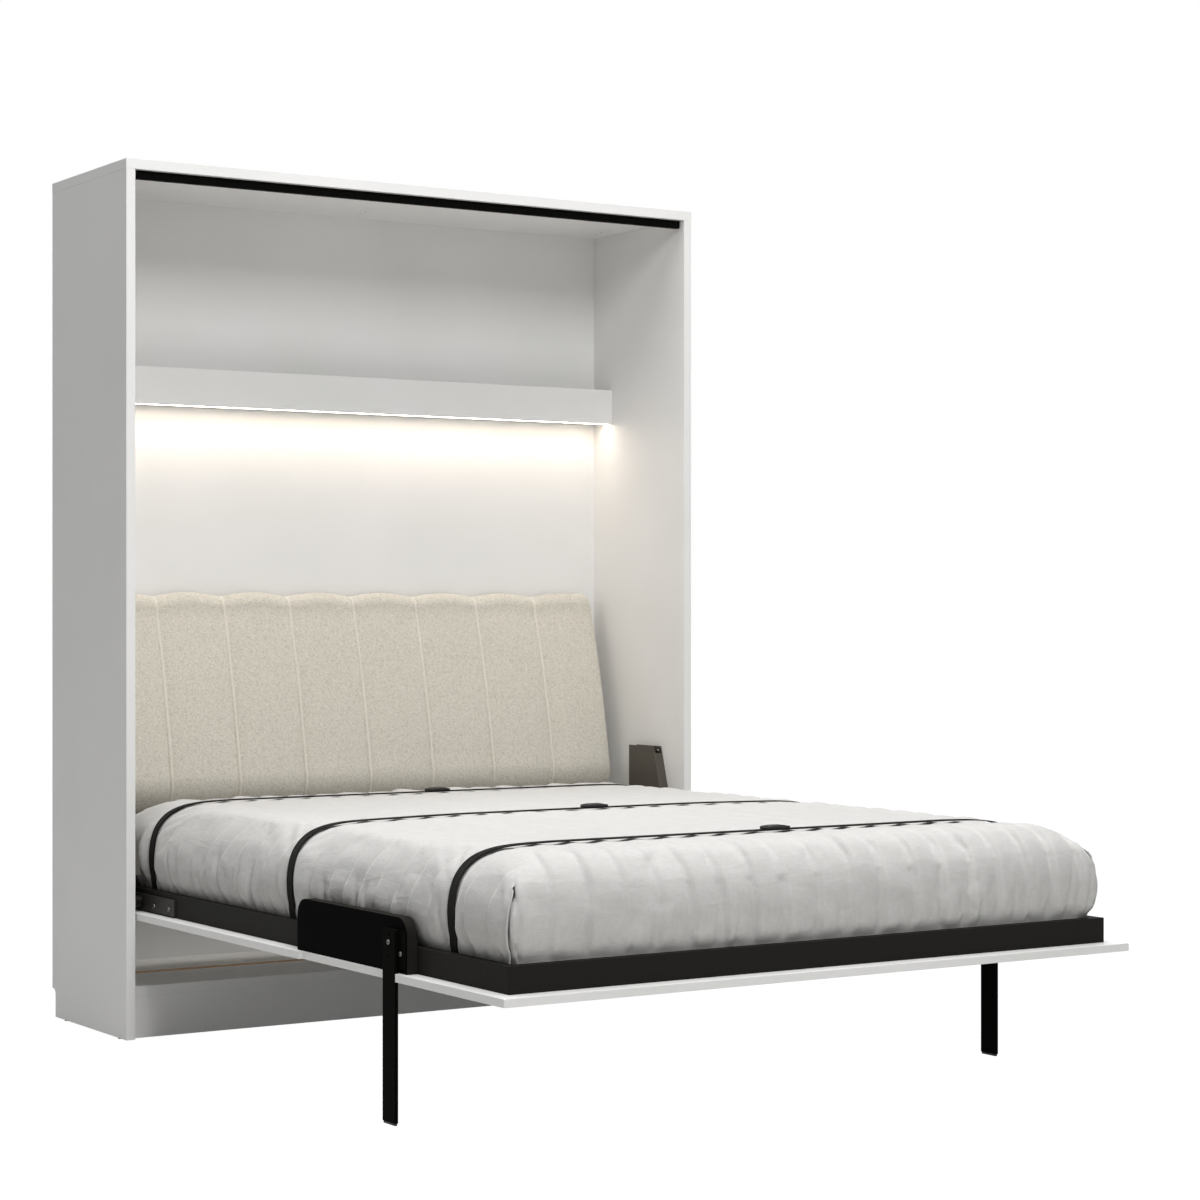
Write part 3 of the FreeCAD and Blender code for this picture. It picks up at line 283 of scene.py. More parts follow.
fitting_low, fitting_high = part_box("top_panel_fittings")
cam_shapes = []
for across in (fitting_low.x + CAM_RADIUS, 0.0, fitting_high.x - CAM_RADIUS):
    for along in (fitting_low.y + CAM_RADIUS, fitting_high.y - CAM_RADIUS):
        cam_profile = (
            (CAM_RADIUS, 0.0),
            (CAM_RADIUS, fitting_high.z - fitting_low.z - 0.0005),
            (CAM_RADIUS - 0.0005, fitting_high.z - fitting_low.z),
            (CAM_CROSS_HALF, fitting_high.z - fitting_low.z),
            (CAM_CROSS_HALF, fitting_high.z - fitting_low.z - CAM_CROSS_DEEP),
        )
        cam_shapes.append(turn_profile(
            (across, along, fitting_high.z), (0, 0, -1), cam_profile, CAM_TURNS, cross_ring
        ))
cams = new_piece(
    "joint_cams", *join_shapes(cam_shapes), zinc, "cabinet", "zinc_steel", ("top_panel_fittings",)
)
smooth_piece(cams, 35)

# Glides under the side panels: moulded black polyethylene, dull and faintly grained.
black_plastic, tree, shader, spot = start_finish("moulded_black_plastic", "#1E1E1D", 0.5)
shader.inputs["Specular IOR Level"].default_value = 0.25
grain(tree, shader, spot, 0.0012, 0.00005)
coat_node("floor_glides", black_plastic)

# Stop strip and leg boards: MDF with a black facing. The sawn edges of the leg boards are
# painted and look a little browner and lighter than the face.
black_board, tree, shader, spot = start_finish("black_faced_board", "#0F0F0E", 0.5)
shader.inputs["Specular IOR Level"].default_value = 0.01
grain(tree, shader, spot, 0.003, 0.00002)
coat_node("stop_strip", black_board, 0.0008)
edged_board, tree, shader, spot = start_finish("black_board_painted_edges", "#040404", 0.5)
shader.inputs["Specular IOR Level"].default_value = 0.005
grain(tree, shader, spot, 0.003, 0.00002)
direction = add_node(tree, "ShaderNodeNewGeometry").outputs["Normal"]
sideways = add_node(tree, "ShaderNodeSeparateXYZ", links={"Vector": direction}).outputs["X"]
on_face = add_node(tree, "ShaderNodeMath", {"operation": "ABSOLUTE"}, {0: sideways})
two_tones(tree, shader, on_face.outputs[0], "#262422", "#040404", 0.4, 0.9)
for board in ("left_leg_board", "right_leg_board"):
    coat_node(board, edged_board, 0.0008)

# Light under the ledge: an aluminium channel with a milky acrylic cover. The lamps sit
# close together in a row and show through the cover as a string of brighter spots.
LAMP_PITCH = 0.0167
LAMP_GLOW = 34.0
GAP_GLOW = 18.0
aluminium, tree, shader, spot = start_finish("anodised_aluminium", "#C6C6C4", 0.35, 1.0)
drawn = add_node(tree, "ShaderNodeMapping", {"Scale": (0.02, 1.0, 1.0)}, {"Vector": spot})
grain(tree, shader, drawn.outputs["Vector"], 0.0004, 0.00002)
coat_node("led_profile", aluminium)
milky, tree, shader, spot = start_finish("milky_acrylic", "#FBF3E6", 0.4)
along = add_node(tree, "ShaderNodeSeparateXYZ", links={"Vector": spot}).outputs["X"]
turns = add_node(
    tree, "ShaderNodeMath", {"operation": "MULTIPLY", 1: 2 * math.pi / LAMP_PITCH}, {0: along}
)
wave = add_node(tree, "ShaderNodeMath", {"operation": "COSINE"}, {0: turns.outputs[0]})
glow = add_node(
    tree, "ShaderNodeMapRange",
    {"From Min": -1.0, "From Max": 1.0, "To Min": GAP_GLOW, "To Max": LAMP_GLOW},
    {"Value": wave.outputs[0]},
)
shader.inputs["Emission Color"].default_value = linear("#FFEFDD")
tree.links.new(glow.outputs["Result"], shader.inputs["Emission Strength"])
coat_node("led_diffuser", milky)

# Headboard: foam on the backing board, covered in cream looped cloth. The cover is sewn
# into eight upright channels; each seam is a raised welt between two rows of stitches,
# and the channels bulge between the seams and scallop the top edge.
HEAD_LOW, HEAD_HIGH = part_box("headboard_cushion")
HEAD_CHANNELS = 8
HEAD_DEPTH = 0.156
HEAD_RUNS = (
    ((0.125, 1.0), (0.22, 0.985), (0.29, 0.934)),
    ((0.29, 0.934), (0.635, 0.61), (0.955, 0.2)),
    ((0.955, 0.2), (0.965, 0.08), (0.77, 0.0)),
)
HEAD_RUN_STEPS = (9, 14, 6)
SEAM_STEPS = (0.0, 2.3, 4.2, 5.3, 6.6, 8.2, 11.0, 16.0, 24.0, 35.0, 49.0, 66.0, 84.0)
WELT_HALF = 0.0052
WELT_RISE = 0.0062
STITCH_PLACE = 0.0066
STITCH_DEEP = 0.0018
SEAM_DRAW = 0.0095
SEAM_DIP = 0.013
END_ROUND = 0.03
END_DRAW = 0.014
END_DIP = 0.03
LOOP_SIZE = 0.005
LOOP_RISE = 0.0013
LOOP_STRAY = 0.012


def arc_points(first, middle, last, steps):
    """Return the arc through three points, given and returned in shares of the cushion."""
    tall = HEAD_HIGH.z - HEAD_LOW.z
    (ax, ay), (bx, by), (cx, cy) = (
        (depth * HEAD_DEPTH, height * tall) for depth, height in (first, middle, last)
    )
    twice = 2 * (ax * (by - cy) + bx * (cy - ay) + cx * (ay - by))
    sa, sb, sc = ax * ax + ay * ay, bx * bx + by * by, cx * cx + cy * cy
    ux = (sa * (by - cy) + sb * (cy - ay) + sc * (ay - by)) / twice
    uy = (sa * (cx - bx) + sb * (ax - cx) + sc * (bx - ax)) / twice
    start = math.atan2(ay - uy, ax - ux)
    sweep = (math.atan2(cy - uy, cx - ux) - start + math.pi) % (2 * math.pi) - math.pi
    radius = math.hypot(ax - ux, ay - uy)
    turns = [start + sweep * step / steps for step in range(steps + 1)]
    return [
        ((ux + radius * math.cos(turn)) / HEAD_DEPTH, (uy + radius * math.sin(turn)) / tall)
        for turn in turns
    ]


def head_columns():
    """Return the places across the headboard, close together at the seams and ends."""
    pitch = (HEAD_HIGH.x - HEAD_LOW.x) / HEAD_CHANNELS
    places = set()
    for seam in range(1, HEAD_CHANNELS):
        centre = HEAD_LOW.x + pitch * seam
        for step in SEAM_STEPS:
            places.add(round(centre - step / 1000, 5))
            places.add(round(centre + step / 1000, 5))
    for channel in range(HEAD_CHANNELS):
        places.add(round(HEAD_LOW.x + pitch * (channel + 0.5), 5))
    for step in range(13):
        reach = END_ROUND * 1.5 * (1 - math.cos(math.pi / 2 * step / 12))
        places.add(round(HEAD_LOW.x + reach, 5))
        places.add(round(HEAD_HIGH.x - reach, 5))
    return sorted(places)


def head_relief(across):
    """Return how far the cover is drawn in, and how far its top dips, at one place."""
    pitch = (HEAD_HIGH.x - HEAD_LOW.x) / HEAD_CHANNELS
    place = (across - HEAD_LOW.x) / pitch
    seam = min(max(round(place), 1), HEAD_CHANNELS - 1)
    off = abs(across - HEAD_LOW.x - seam * pitch)
    share = max(0.0, 1 - off / (pitch / 2)) if abs(place - seam) <= 0.5 else 0.0
    draw = SEAM_DRAW * (0.45 * share ** 2 + 0.55 * math.exp(-((off / 0.02) ** 2)))
    dip = SEAM_DIP * share ** 1.6
    if off < WELT_HALF:
        draw -= WELT_RISE * math.cos(math.pi / 2 * off / WELT_HALF) ** 0.7
    draw += STITCH_DEEP * math.exp(-(((off - STITCH_PLACE) / 0.0022) ** 2))
    end = min(across - HEAD_LOW.x, HEAD_HIGH.x - across)
    if end < END_ROUND:
        turn = 1 - math.sqrt(max(0.0, 1 - (1 - end / END_ROUND) ** 2))
        draw += END_DRAW * turn
        dip += END_DIP * turn
    return draw, dip


head_shares = [(0.0, 1.0), (0.06, 1.0)]
for run, steps in zip(HEAD_RUNS, HEAD_RUN_STEPS):
    sampled = arc_points(*run, steps)
    head_shares += sampled if run is HEAD_RUNS[0] else sampled[1:]
head_shares += [(0.4, 0.0), (0.0, 0.0)]
head_points = []
columns = head_columns()
for across in columns:
    draw, dip = head_relief(across)
    for depth_share, height_share in head_shares:
        wave = noise.noise(Vector((across * 9, depth_share * 3, height_share * 7)))
        deep = (HEAD_DEPTH - draw + 0.0016 * wave) * depth_share
        tall = (HEAD_HIGH.z - HEAD_LOW.z - dip) * height_share
        head_points.append((across, HEAD_HIGH.y - deep, HEAD_LOW.z + tall))
head_faces = tube_faces(len(columns), len(head_shares))

looped_cloth, tree, shader, spot = start_finish("cream_looped_cloth", "#DCD5C6", 0.95)
bent_spot = add_node(
    tree, "ShaderNodeTexNoise", {"Scale": 1 / LOOP_STRAY, "Detail": 2.0}, {"Vector": spot}
)
loop_spot = add_node(
    tree, "ShaderNodeMixRGB", {"blend_type": "LINEAR_LIGHT", "Fac": 0.01},
    {"Color1": spot, "Color2": bent_spot.outputs["Color"]},
)
loops = add_node(
    tree, "ShaderNodeTexVoronoi",
    {"feature": "SMOOTH_F1", "Scale": 1 / LOOP_SIZE, "Smoothness": 0.5},
    {"Vector": loop_spot.outputs["Color"]},
)
# The loops are painted darker from their middles to their edges: painted shade in the hollows
# between them.
ramp = two_tones(tree, shader, loops.outputs["Distance"], "#DDD8CD", "#C3BEB1", 0.1, 0.8)
# The welt on each seam is painted one flat light tone that covers the loops' shade: a painted
# highlight along the raised ridge.
across = add_node(tree, "ShaderNodeSeparateXYZ", links={"Vector": spot}).outputs["X"]
from_seam = add_node(
    tree, "ShaderNodeMath",
    {"operation": "PINGPONG", 1: (HEAD_HIGH.x - HEAD_LOW.x) / HEAD_CHANNELS / 2}, {0: across},
)
welt_highlight_mask = add_node(
    tree, "ShaderNodeMapRange",
    {"From Min": 0.001, "From Max": 0.005, "To Min": 1.0, "To Max": 0.0},
    {"Value": from_seam.outputs[0]},
)
highlighted_welt = add_node(
    tree, "ShaderNodeMixRGB", {"Color2": linear("#DCD7CC")},
    {"Fac": welt_highlight_mask.outputs["Result"], "Color1": ramp.outputs["Color"]},
)
tree.links.new(highlighted_welt.outputs["Color"], shader.inputs["Base Color"])
raised = add_node(
    tree, "ShaderNodeBump", {"Strength": 1.0, "Distance": LOOP_RISE, "invert": True},
    {"Height": loops.outputs["Distance"]},
)
tree.links.new(raised.outputs["Normal"], shader.inputs["Normal"])
shader.inputs["Sheen Weight"].default_value = 0.35
shader.inputs["Sheen Roughness"].default_value = 0.5
shader.inputs["Specular IOR Level"].default_value = 0.2
headboard = new_piece(
    "headboard", head_points, head_faces, looped_cloth, "cabinet", "headboard_fabric",
    ("headboard_cushion",),
)
smooth_piece(headboard, 70)

# Lift brackets: 3 mm steel sheet, folded round the gas strut and powder coated in a dark
# bronze grey, which has a fine orange-peel skin. Screws with zinc heads hold them.
bracket_coat, tree, shader, spot = start_finish("bronze_grey_powder_coat", "#4A453D", 0.42)
grain(tree, shader, spot, 0.0022, 0.00006)
for part in ("left_lift_bracket", "right_lift_bracket"):
    coat_node(part, bracket_coat, 0.0006)

# Bolts: zinc-plated steel with button heads and a hexagon socket. The pins that the
# levers and struts turn on are blackened steel, nearly black with a low sheen.
SOCKET_TURNS = 48
BOLT_RADIUS = 0.0059


def socket_bolt(centre, side, height, shank):
    """Return a button head with a hexagon socket that faces a side along X."""
    radius = BOLT_RADIUS
    hexagon = radius * 0.52

    def ring(number, reach, angle):
        if number < 6:
            return reach
        turn = (angle % (math.pi / 3)) - math.pi / 6
        return reach * math.cos(math.pi / 6) / math.cos(turn)

    profile = (
        (radius * 0.6, -shank),
        (radius * 0.6, 0.0),
        (radius, 0.0),
        (radius, height * 0.35),
        (radius * 0.9, height * 0.75),
        (radius * 0.68, height),
        (hexagon, height),
        (hexagon * 0.97, height * 0.25),
    )
    return turn_profile(centre, (side, 0, 0), profile, SOCKET_TURNS, ring)


def bolt_group(name, body, stands_for, facing, shank, bolts):
    """Make the bolts of both sides as one piece, each by its y, z, x and head height."""
    shapes = [
        socket_bolt((side * out, along, up), side * facing, height, shank)
        for side in (-1, 1) for along, up, out, height in bolts
    ]
    group = new_piece(name, *join_shapes(shapes), zinc, body, "zinc_steel", (stands_for,))
    smooth_piece(group, 35)


BRACKET_BOLTS = (
    (0.79235, 0.688, 0.847, 0.0038), (0.89135, 0.688, 0.847, 0.0038),
    (0.89135, 0.454, 0.847, 0.0038), (0.71335, 0.410, 0.847, 0.0038),
)
bolt_group("bracket_screws", "cabinet", "lift_bracket_bolts", -1, 0.0, BRACKET_BOLTS)
LEVER_BOLTS = ((0.62635, 0.3455, 0.8137, 0.0029), (0.53435, 0.3455, 0.8137, 0.0029))
bolt_group("lever_screws", "bed", "lever_bolts", 1, 0.006, LEVER_BOLTS)
black_oxide, tree, shader, spot = start_finish("blackened_steel", "#2B2A28", 0.4, 1.0)
grain(tree, shader, spot, 0.001, 0.00001)
for part in ("left_pivot_pin", "right_pivot_pin", "left_strut_pin", "right_strut_pin"):
    coat_node(part, black_oxide)

# Levers and gas struts: the lever is plate in a darker coat than the bracket's, the
# cylinder gloss black tube and the rod ground and chromed.
lever_coat, tree, shader, spot = start_finish("grey_black_powder_coat", "#343230", 0.45)
shader.inputs["Specular IOR Level"].default_value = 0.1
grain(tree, shader, spot, 0.0022, 0.00006)
for part in ("left_lever", "right_lever"):
    coat_node(part, lever_coat, 0.0005)
gloss_tube, tree, shader, spot = start_finish("gloss_black_tube", "#141414", 0.22)
grain(tree, shader, spot, 0.006, 0.00001)
chrome_rod, tree, shader, spot = start_finish("chromed_rod", "#C4C4C6", 0.12, 1.0)
grain(tree, shader, spot, 0.0008, 0.000004)
for side in ("left", "right"):
    coat_node(f"{side}_strut_cylinder", gloss_tube)
    coat_node(f"{side}_strut_rod", chrome_rod)

# Bed frame: box-section steel rails with angles and a beam for the slats, all in a matt
# black powder coat with a fine sandy skin.
matt_coat, tree, shader, spot = start_finish("matt_black_powder_coat", "#232220", 0.55)
shader.inputs["Specular IOR Level"].default_value = 0.03
skin = grain(tree, shader, spot, 0.0025, 0.00012, 3.0)
two_tones(tree, shader, skin, "#1E1D1B", "#282725")
for part in (
    "left_side_rail", "right_side_rail", "foot_rail", "head_end_plate", "left_slat_ledge",
    "right_slat_ledge", "centre_beam",
):
    coat_node(part, matt_coat, 0.0006)

# Slats: planed birch, with straight grain across the bed in streaks of some 67 cm by
# 17 mm.
SLAT_STREAK = (1 / 1.5, 1 / 60, 1 / 60)
birch, tree, shader, spot = start_finish("planed_birch", "#D6BC8F", 0.5)
stretched = add_node(
    tree, "ShaderNodeMapping", {"Scale": [1 / size for size in SLAT_STREAK]}, {"Vector": spot}
)
fibres = grain(tree, shader, stretched.outputs["Vector"], 1.0, 0.0001, 5.0)
two_tones(tree, shader, fibres, "#C6A878", "#E2CBA3")
coat_node("slats", birch, 0.0012)

# Mattress: foam in a knitted cover with a corded seam round its top and bottom edge. It
# shows only where the quilt is lifted.
MATTRESS_LOW, MATTRESS_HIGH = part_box("mattress")
MATTRESS_CORNER = 0.068
TICKING_STITCH = 0.005
TICKING_RISE = 0.0008
MATTRESS_ROWS = (
    (0.05, 0.0), (0.012, 0.006), (0.003, 0.016), (-0.0005, 0.022), (0.003, 0.028),
    (0.001, 0.07), (0.0, 0.11), (0.001, 0.15), (0.008, 0.178), (0.0125, 0.185),
    (0.02, 0.189), (0.038, 0.207), (0.06, 0.216), (0.11, 0.221), (0.3, 0.2215),
)


def rounded_ring(low, high, corner, turns, runs):
    """Return a level outline with round corners as x, y pairs."""
    ring = []
    for quarter, (cx, cy) in enumerate((
        (high[0] - corner, high[1] - corner), (low[0] + corner, high[1] - corner),
        (low[0] + corner, low[1] + corner), (high[0] - corner, low[1] + corner),
    )):
        for step in range(turns + 1):
            angle = math.pi / 2 * (quarter + step / turns)
            ring.append((cx + corner * math.cos(angle), cy + corner * math.sin(angle)))
        nxt = (
            (low[0] + corner, high[1]), (low[0], low[1] + corner),
            (high[0] - corner, low[1]), (high[0], high[1] - corner),
        )[quarter]
        last = ring[-1]
        for step in range(1, runs):
            ring.append((
                last[0] + (nxt[0] - last[0]) * step / runs,
                last[1] + (nxt[1] - last[1]) * step / runs,
            ))
    return ring


mattress_points = []
for inset, rise in MATTRESS_ROWS:
    corner = max(MATTRESS_CORNER - inset, 0.02)
    ring = rounded_ring(
        (MATTRESS_LOW.x + max(inset, 0), MATTRESS_LOW.y + max(inset, 0)),
        (MATTRESS_HIGH.x - max(inset, 0), MATTRESS_HIGH.y - max(inset, 0)), corner, 8, 24,
    )
    mattress_points += [(x, y, MATTRESS_LOW.z + rise) for x, y in ring]
mattress_faces = tube_faces(len(MATTRESS_ROWS), len(ring))
ticking, tree, shader, spot = start_finish("knitted_ticking", "#E4E1DA", 0.9)
stitches = add_node(
    tree, "ShaderNodeTexVoronoi", {"Scale": 1 / TICKING_STITCH, "Randomness": 0.3},
    {"Vector": spot},
)
# The stitches are painted darker from their middles to their edges: painted shade in the hollows
# between them.
two_tones(tree, shader, stitches.outputs["Distance"], "#EAE8E2", "#CFCBC2", 0.1, 0.7)
raised = add_node(
    tree, "ShaderNodeBump", {"Strength": 0.6, "Distance": TICKING_RISE, "invert": True},
    {"Height": stitches.outputs["Distance"]},
)
tree.links.new(raised.outputs["Normal"], shader.inputs["Normal"])
shader.inputs["Sheen Weight"].default_value = 0.2
foam = new_piece(
    "foam_mattress", mattress_points, mattress_faces, ticking, "bed", "mattress_fabric",
    ("mattress",),
)
smooth_piece(foam, 60)

# Quilt: light grey linen over a thin filling, tucked into the frame all round. The tuck
# gathers it, so folds climb its sides every 6 to 9 cm and die out on top. Three straps
# hold it down, and at the foot its sides lap over its end like a made bed.
QUILT_HALF = 0.7805
QUILT_FOOT = -1.09685
QUILT_HEAD = 0.90985
QUILT_BOTTOM = 0.357
QUILT_RISE = 0.247
QUILT_CORNER = 0.07
QUILT_HEAD_SHARE = 0.35
QUILT_SHARES = (
    (0.0, 0.0, 0.2), (0.0, 0.08, 0.2), (0.012, 0.13, 0.2), (0.05, 0.22, 0.22), (0.078, 0.34, 0.26),
    (0.083, 0.46, 0.3), (0.06, 0.6, 0.38), (0.01, 0.72, 0.5), (-0.06, 0.805, 0.68),
    (-0.15, 0.872, 0.85), (-0.265, 0.922, 1.0), (-0.41, 0.957, 1.0), (-0.62, 0.977, 1.0),
    (-1.1, 0.989, 1.0), (-1.9, 1.0, 1.0), (-4.4, 1.0, 1.0),
)
QUILT_MESH = 0.010
SHOULDER_SHARE = 0.155
LAP_TOP = 0.80
LAP_OUT = 0.003
LAP_IN = 0.0025
LAP_OVER = 0.006
LAP_GAPE = 0.012
LAP_LEAN = 0.008
STRAP_PLACES = (0.69205, -0.10408, -0.86057)
STRAP_HALF = 0.014
BLOW_PRESSURE = 4.0
BLOW_FRAMES = 20
BLOW_SIDE = 0.008
BLOW_TOP = 0.0015
BLOW_SWELL = 0.012
FOLD_PITCH = 0.084
FOLD_RISE = 0.019
PUCKER_PITCH = 0.078
PUCKER_RISE = 0.012
GATHER_PITCH = 0.055
GATHER_DEPTH = 0.016
GATHER_END_SHARE = 0.35
RIB_RISE = 0.0020
TILT_RISE = 0.0035
SCALLOP_RISE = 0.0022
THREAD_WIDE = 1 / 420
THREAD_SLUB = 1 / 45
THREAD_RISE = 0.0006
CRUMPLE_SIZE = (1 / 9, 1 / 9, 1 / 30)
CRUMPLE_RISE = 0.0022
FLAT_FROM = 0.9115
FLAT_ROOM = 0.008
STRAP_SINK = 0.003
STRAP_SQUEEZE = 1.5
STRAP_REACH = 0.06


def profile_curve():
    """Return the quilt's side as fine inset, height and corner, with the run to each."""
    rough = [
        (-bulge * QUILT_RISE, up * QUILT_RISE, corner * QUILT_CORNER)
        for bulge, up, corner in QUILT_SHARES
    ]
    fine = []
    for number in range(len(rough) - 1):
        before = rough[max(number - 1, 0)]
        here, after = rough[number], rough[number + 1]
        beyond = rough[min(number + 2, len(rough) - 1)]
        length = math.hypot(after[0] - here[0], after[1] - here[1])
        steps = max(6, int(length / 0.003))
        for step in range(steps):
            t = step / steps
            point = []
            for a, b, c, d in zip(before, here, after, beyond):
                limit = abs(c - b) * 1.5
                low_slope = max(-limit, min(limit, (c - a) / 2))
                high_slope = max(-limit, min(limit, (d - b) / 2))
                point.append(
                    (2 * t ** 3 - 3 * t ** 2 + 1) * b + (t ** 3 - 2 * t ** 2 + t) * low_slope
                    + (3 * t ** 2 - 2 * t ** 3) * c + (t ** 3 - t ** 2) * high_slope
                )
            fine.append(tuple(point))
    fine.append(rough[-1])
    runs = [0.0]
    for one, two in zip(fine, fine[1:]):
        runs.append(runs[-1] + math.hypot(two[0] - one[0], two[1] - one[1]))
    return fine, runs


profile_points, profile_runs = profile_curve()


def on_profile(run):
    """Return inset, height and corner at a run along the quilt's side from its hem."""
    low, high = 0, len(profile_runs) - 1
    run = min(max(run, 0.0), profile_runs[-1])
    while high - low > 1:
        middle = (low + high) // 2
        if profile_runs[middle] > run:
            high = middle
        else:
            low = middle
    span = profile_runs[high] - profile_runs[low]
    t = (run - profile_runs[low]) / span if span else 0.0
    return tuple(a + (b - a) * t for a, b in zip(profile_points[low], profile_points[high]))


shoulder_run = next(
    run for run, (inset, up, corner) in zip(profile_runs, profile_points)
    if up > QUILT_RISE * 0.6 and inset >= SHOULDER_SHARE * QUILT_RISE
)


def run_at_inset(inset):
    """Return the run where the quilt's top has come in by an inset."""
    low, high = shoulder_run, profile_runs[-1]
    for _ in range(30):
        middle = (low + high) / 2
        if on_profile(middle)[0] < inset:
            low = middle
        else:
            high = middle
    return (low + high) / 2


QUILT_MIDDLE = (QUILT_FOOT + QUILT_HEAD) / 2
QUILT_LONG = (QUILT_HEAD - QUILT_FOOT) / 2
SIDE_ROWS = round(shoulder_run / QUILT_MESH)
LAP_ROWS = round(SIDE_ROWS * LAP_TOP)
WIDE_RUN = run_at_inset(QUILT_HALF) - shoulder_run
WIDE_COLUMNS = round(WIDE_RUN / QUILT_MESH)
LONG_RUN = run_at_inset(QUILT_LONG) - shoulder_run
LONG_COLUMNS = round(LONG_RUN / QUILT_MESH)


def quilt_point(across, along, run):
    """Return a point of the plain quilt from its shares across and along and its run."""
    inset, up, corner = on_profile(run)
    shoulder = on_profile(shoulder_run)[0]
    x = (QUILT_HALF - on_profile(shoulder_run + WIDE_RUN * (1 - abs(across)))[0]) if across else 0.0
    y = (QUILT_LONG - on_profile(shoulder_run + LONG_RUN * (1 - abs(along)))[0]) if along else 0.0
    outer = shoulder
    if run < shoulder_run:
        x *= (QUILT_HALF - inset) / (QUILT_HALF - shoulder)
        y *= (QUILT_LONG - inset) / (QUILT_LONG - shoulder)
        outer = inset
    x, y = math.copysign(x, across), math.copysign(y, along)
    corner_x = QUILT_HALF - outer - corner
    corner_y = QUILT_LONG - outer - corner
    off_x, off_y = abs(x) - corner_x, abs(y) - corner_y
    if off_x > 0 and off_y > 0:
        pull = max(off_x, off_y) / math.hypot(off_x, off_y)
        x = math.copysign(corner_x + off_x * pull, x)
        y = math.copysign(corner_y + off_y * pull, y)
    if y > 0 and inset < 0:
        y += inset * (1 - QUILT_HEAD_SHARE) * (abs(y) / QUILT_LONG) ** 6
    return Vector((x, QUILT_MIDDLE + y, QUILT_BOTTOM + up))


quilt_keys, quilt_points, quilt_faces = {}, [], []
lap_corners = {}


def quilt_vertex(i, j, k, owner):
    """Return the index of a grid vertex, doubled where a side laps over the foot."""
    at_lap = abs(i) == WIDE_COLUMNS and j == 1 - LONG_COLUMNS and k < LAP_ROWS
    key = (i, j, k, owner if at_lap else "")
    if key not in quilt_keys:
        across, along = i / WIDE_COLUMNS, j / LONG_COLUMNS
        run = shoulder_run * k / SIDE_ROWS
        if k == SIDE_ROWS:
            run += min(WIDE_RUN * (1 - abs(across)), LONG_RUN * (1 - abs(along)))
        quilt_keys[key] = len(quilt_points)
        quilt_points.append(quilt_point(across, along, run))
        if at_lap:
            lap_corners[quilt_keys[key]] = (owner, math.copysign(1, i), k / LAP_ROWS)
    return quilt_keys[key]


for i in range(-WIDE_COLUMNS, WIDE_COLUMNS):
    for j in range(-LONG_COLUMNS, LONG_COLUMNS):
        quilt_faces.append(tuple(
            quilt_vertex(a, b, SIDE_ROWS, "")
            for a, b in ((i, j), (i + 1, j), (i + 1, j + 1), (i, j + 1))
        ))
for k in range(SIDE_ROWS):
    for i in range(-WIDE_COLUMNS, WIDE_COLUMNS):
        for edge, order in ((-LONG_COLUMNS, 1), (LONG_COLUMNS, -1)):
            ring = [
                quilt_vertex(a, edge, c, "end")
                for a, c in ((i, k), (i + 1, k), (i + 1, k + 1), (i, k + 1))
            ]
            quilt_faces.append(tuple(ring[::order]))
    for j in range(-LONG_COLUMNS, LONG_COLUMNS):
        for edge, order in ((-WIDE_COLUMNS, -1), (WIDE_COLUMNS, 1)):
            ring = [
                quilt_vertex(edge, b, c, "end" if j == -LONG_COLUMNS else "side")
                for b, c in ((j, k), (j + 1, k), (j + 1, k + 1), (j, k + 1))
            ]
            quilt_faces.append(tuple(ring[::order]))


def ease(value, low, high):
    """Return 0 below low, 1 above high and a smooth rise between."""
    t = min(max((value - low) / (high - low), 0.0), 1.0)
    return t * t * (3 - 2 * t)


for number, (owner, side, up) in lap_corners.items():
    gape = ease(up, 0.8, 0.93)
    lean = LAP_LEAN * (math.sin(math.pi * up) - 1.1 * ease(up, 0.5, 1.0))
    if owner == "side":
        moved = Vector((side * (LAP_OUT + 0.002 * gape), lean, 0.0))
    else:
        moved = Vector((-side * (LAP_IN + LAP_GAPE * gape), lean + LAP_OVER, 0.0))
    quilt_points[number] = quilt_points[number] + moved * ease(up, 0.0, 0.12)

linen, tree, shader, spot = start_finish("grey_linen", "#C8C7C5", 0.92)
# Linen threads lie about 0.5 mm apart; they are drawn about 2 mm apart, so that some of
# the weave shows. Each set runs along two axes and is fine across the third.
threads = []
for across in range(3):
    stretch = [1 / THREAD_WIDE if axis == across else 1 / THREAD_SLUB for axis in range(3)]
    drawn = add_node(tree, "ShaderNodeMapping", {"Scale": stretch}, {"Vector": spot})
    threads.append(add_node(
        tree, "ShaderNodeTexNoise", {"Scale": 1.0, "Detail": 2.0},
        {"Vector": drawn.outputs["Vector"]},
    ).outputs["Fac"])
two_sets = add_node(tree, "ShaderNodeMath", {"operation": "ADD"}, {0: threads[0], 1: threads[1]})
weave = add_node(
    tree, "ShaderNodeMath", {"operation": "ADD"}, {0: two_sets.outputs[0], 1: threads[2]}
)
thirds = add_node(tree, "ShaderNodeMath", {"operation": "DIVIDE", 1: 3.0}, {0: weave.outputs[0]})
two_tones(tree, shader, thirds.outputs[0], "#BFBEBC", "#C8C7C5", 0.38, 0.62)
raised = add_node(
    tree, "ShaderNodeBump", {"Strength": 0.6, "Distance": THREAD_RISE},
    {"Height": thirds.outputs[0]},
)
crumple_spot = add_node(
    tree, "ShaderNodeMapping", {"Scale": [1 / size for size in CRUMPLE_SIZE]}, {"Vector": spot}
)
crumple = add_node(
    tree, "ShaderNodeTexNoise", {"Scale": 1.0, "Detail": 3.0, "Distortion": 0.8},
    {"Vector": crumple_spot.outputs["Vector"]},
)
